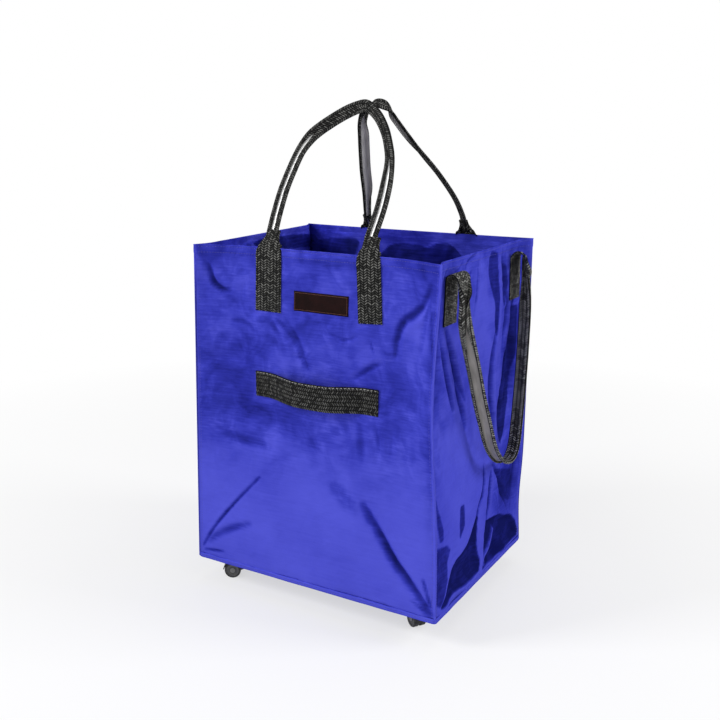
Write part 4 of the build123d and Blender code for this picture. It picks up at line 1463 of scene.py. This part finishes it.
def bare_patch():
    """A small leather-look patch with softened edges and a sewn border."""
    half_width, half_height = PATCH_WIDTH / 2, PATCH_HEIGHT / 2
    columns, rows = 60, 22
    across = np.linspace(-1, 1, columns) * half_width
    upward = np.linspace(-1, 1, rows) * half_height
    z, x = np.meshgrid(upward, across, indexing="ij")
    edge = np.minimum(half_width - np.abs(x), half_height - np.abs(z))
    crown = PATCH_THICK * smooth(-0.6, 1.2, edge) - 0.25 * bell(edge - PATCH_BORDER, 0.7)
    crown = crown + 0.12 * drift(x / 14.0, z / 9.0, seed=91)
    points = patch_place(x, z, 0.25 + crown).reshape(-1, 3)
    uv = np.stack([x.ravel(), z.ravel()], axis=1)
    obj = new_piece("patch", points, grid_faces(rows, columns), [patch_leather], uv)
    thicken(obj, PATCH_BACK, -1.0)
    belongs(obj, "bag", "front_patch")
    w, h = half_width - PATCH_BORDER, half_height - PATCH_BORDER
    line = along_sides(np.array([(-w, -h), (w, -h), (w, h), (-w, h), (-w, -h)]), 30)
    border = patch_place(line[:, 0], line[:, 1], np.full(len(line), PATCH_THICK + 0.2))
    stitched("patch_border", [border], brown_thread, PATCH_STITCH)


bare_patch()

# Finishes of the rigid pieces
STEEL_ENDINGS = ("_caster_plate", "_kingpin", "_thrust_washer", "_axle")


def paint(node, material):
    """Gives a node of the frame its finish."""
    obj = frame["nodes"][node]
    obj.data.materials.clear()
    obj.data.materials.append(material)


for joint in frame["joints"]:
    if "_roller_" in joint["child"]:
        node = joint["child"].replace("roller", "wheel")
        paint(node, wheel_finish(f"{node}_finish", joint["pos_m"], joint["axis"]))
for node in frame["nodes"]:
    if node.endswith("_swivel_housing"):
        paint(node, housing_plastic)
    elif node == "base_board":
        paint(node, board_plastic)
    elif node.endswith(STEEL_ENDINGS) or node.startswith("caster_"):
        paint(node, zinc)

# Stage, in metres
WHITE = (1.0, 1.0, 1.0, 1.0)
FLOOR_PALE = (0.86, 0.86, 0.87, 1.0)
FLOOR_REACH = 30.0
# The floor is whiter to the eye further from the object: nearest and farthest place and share of white
FLOOR_NEAR, FLOOR_FAR = 0.45, 1.5
FLOOR_NEAR_WHITE, FLOOR_FAR_WHITE = 0.6, 1.0
AMBIENT = 0.3


class Stage(Nodes):
    """The nodes of the floor or of the world."""

    def __init__(self, owner):
        super().__init__(owner)
        self.tree.nodes.clear()

    def shader(self, kind, **values):
        made = self.node(kind)
        for key, value in values.items():
            made.inputs[key].default_value = value
        return made.outputs[0]

    def seen(self):
        """1 for rays from the eye, off gloss or through glass, and 0 for light on the object."""
        path = self.node("ShaderNodeLightPath").outputs
        first = self.math("MAXIMUM", path["Is Camera Ray"], path["Is Glossy Ray"])
        return self.math("MAXIMUM", first, path["Is Transmission Ray"])

    def finish(self, output, share, plain, white):
        """Shows the white shader by its share and the plain one otherwise."""
        mix = self.node("ShaderNodeMixShader")
        for socket, source in zip(mix.inputs, (share, plain, white)):
            self.join(source, socket)
        self.join(mix.outputs["Shader"], self.node(output).inputs["Surface"])


def stage_floor():
    """A wide pale floor that keeps the object's shadow and is white to the eye."""
    r = FLOOR_REACH
    mesh = bpy.data.meshes.new("floor")
    mesh.from_pydata([(-r, -r, 0), (r, -r, 0), (r, r, 0), (-r, r, 0)], [], [(0, 1, 2, 3)])
    material = bpy.data.materials.new("pale_floor")
    stage = Stage(material)
    apart = stage.node("ShaderNodeVectorMath", operation="LENGTH")
    stage.join(stage.node("ShaderNodeTexCoord").outputs["Object"], apart.inputs[0])
    fade = stage.grade(apart.outputs["Value"], FLOOR_NEAR_WHITE, FLOOR_FAR_WHITE, FLOOR_NEAR, FLOOR_FAR)
    matt = stage.shader("ShaderNodeBsdfDiffuse", Color=FLOOR_PALE)
    white = stage.shader("ShaderNodeEmission", Color=WHITE)
    stage.finish("ShaderNodeOutputMaterial", stage.times(stage.seen(), fade), matt, white)
    mesh.materials.append(material)
    put_in_scene("floor", mesh)


def stage_world():
    """White to the eye and in reflections, dimmer as light on the object."""
    world = bpy.data.worlds.new("studio")
    bpy.context.scene.world = world
    stage = Stage(world)
    ambient = stage.shader("ShaderNodeBackground", Color=WHITE, Strength=AMBIENT)
    white = stage.shader("ShaderNodeBackground", Color=WHITE, Strength=1.0)
    stage.finish("ShaderNodeOutputWorld", stage.seen(), ambient, white)


def aimed(obj, place, target):
    """Puts an object at a place, turned to look at a target."""
    obj.location = place
    obj.rotation_mode = "QUATERNION"
    obj.rotation_quaternion = (Vector(target) - Vector(place)).to_track_quat("-Z", "Y")


def soft_light(name, place, height, size, power):
    """A square soft light that looks at the middle of the object at a height."""
    lamp = bpy.data.lights.new(name, "AREA")
    lamp.shape = "SQUARE"
    lamp.size = size
    lamp.energy = power
    aimed(put_in_scene(name, lamp), place, (0.0, 0.0, height))


stage_floor()
stage_world()
soft_light("key", (-1.9, -1.9, 2.1), 0.3, 1.1, 62.0)
soft_light("side", (2.3, 0.8, 1.5), 0.3, 1.0, 40.0)
soft_light("front_low", (0.5, -2.6, 0.8), 0.2, 1.4, 18.0)
soft_light("top", (0.2, 0.3, 2.8), 0.3, 1.6, 12.0)

camera = bpy.data.cameras.new("portrait")
camera.lens = 47.2
camera.sensor_width = 36.0
camera.clip_end = 100.0
camera_object = put_in_scene("portrait", camera)
aimed(camera_object, (0.712, -1.226, 0.720), (-0.0085, 0.0, 0.354))
bpy.context.scene.camera = camera_object
bpy.context.scene.view_settings.view_transform = "Standard"
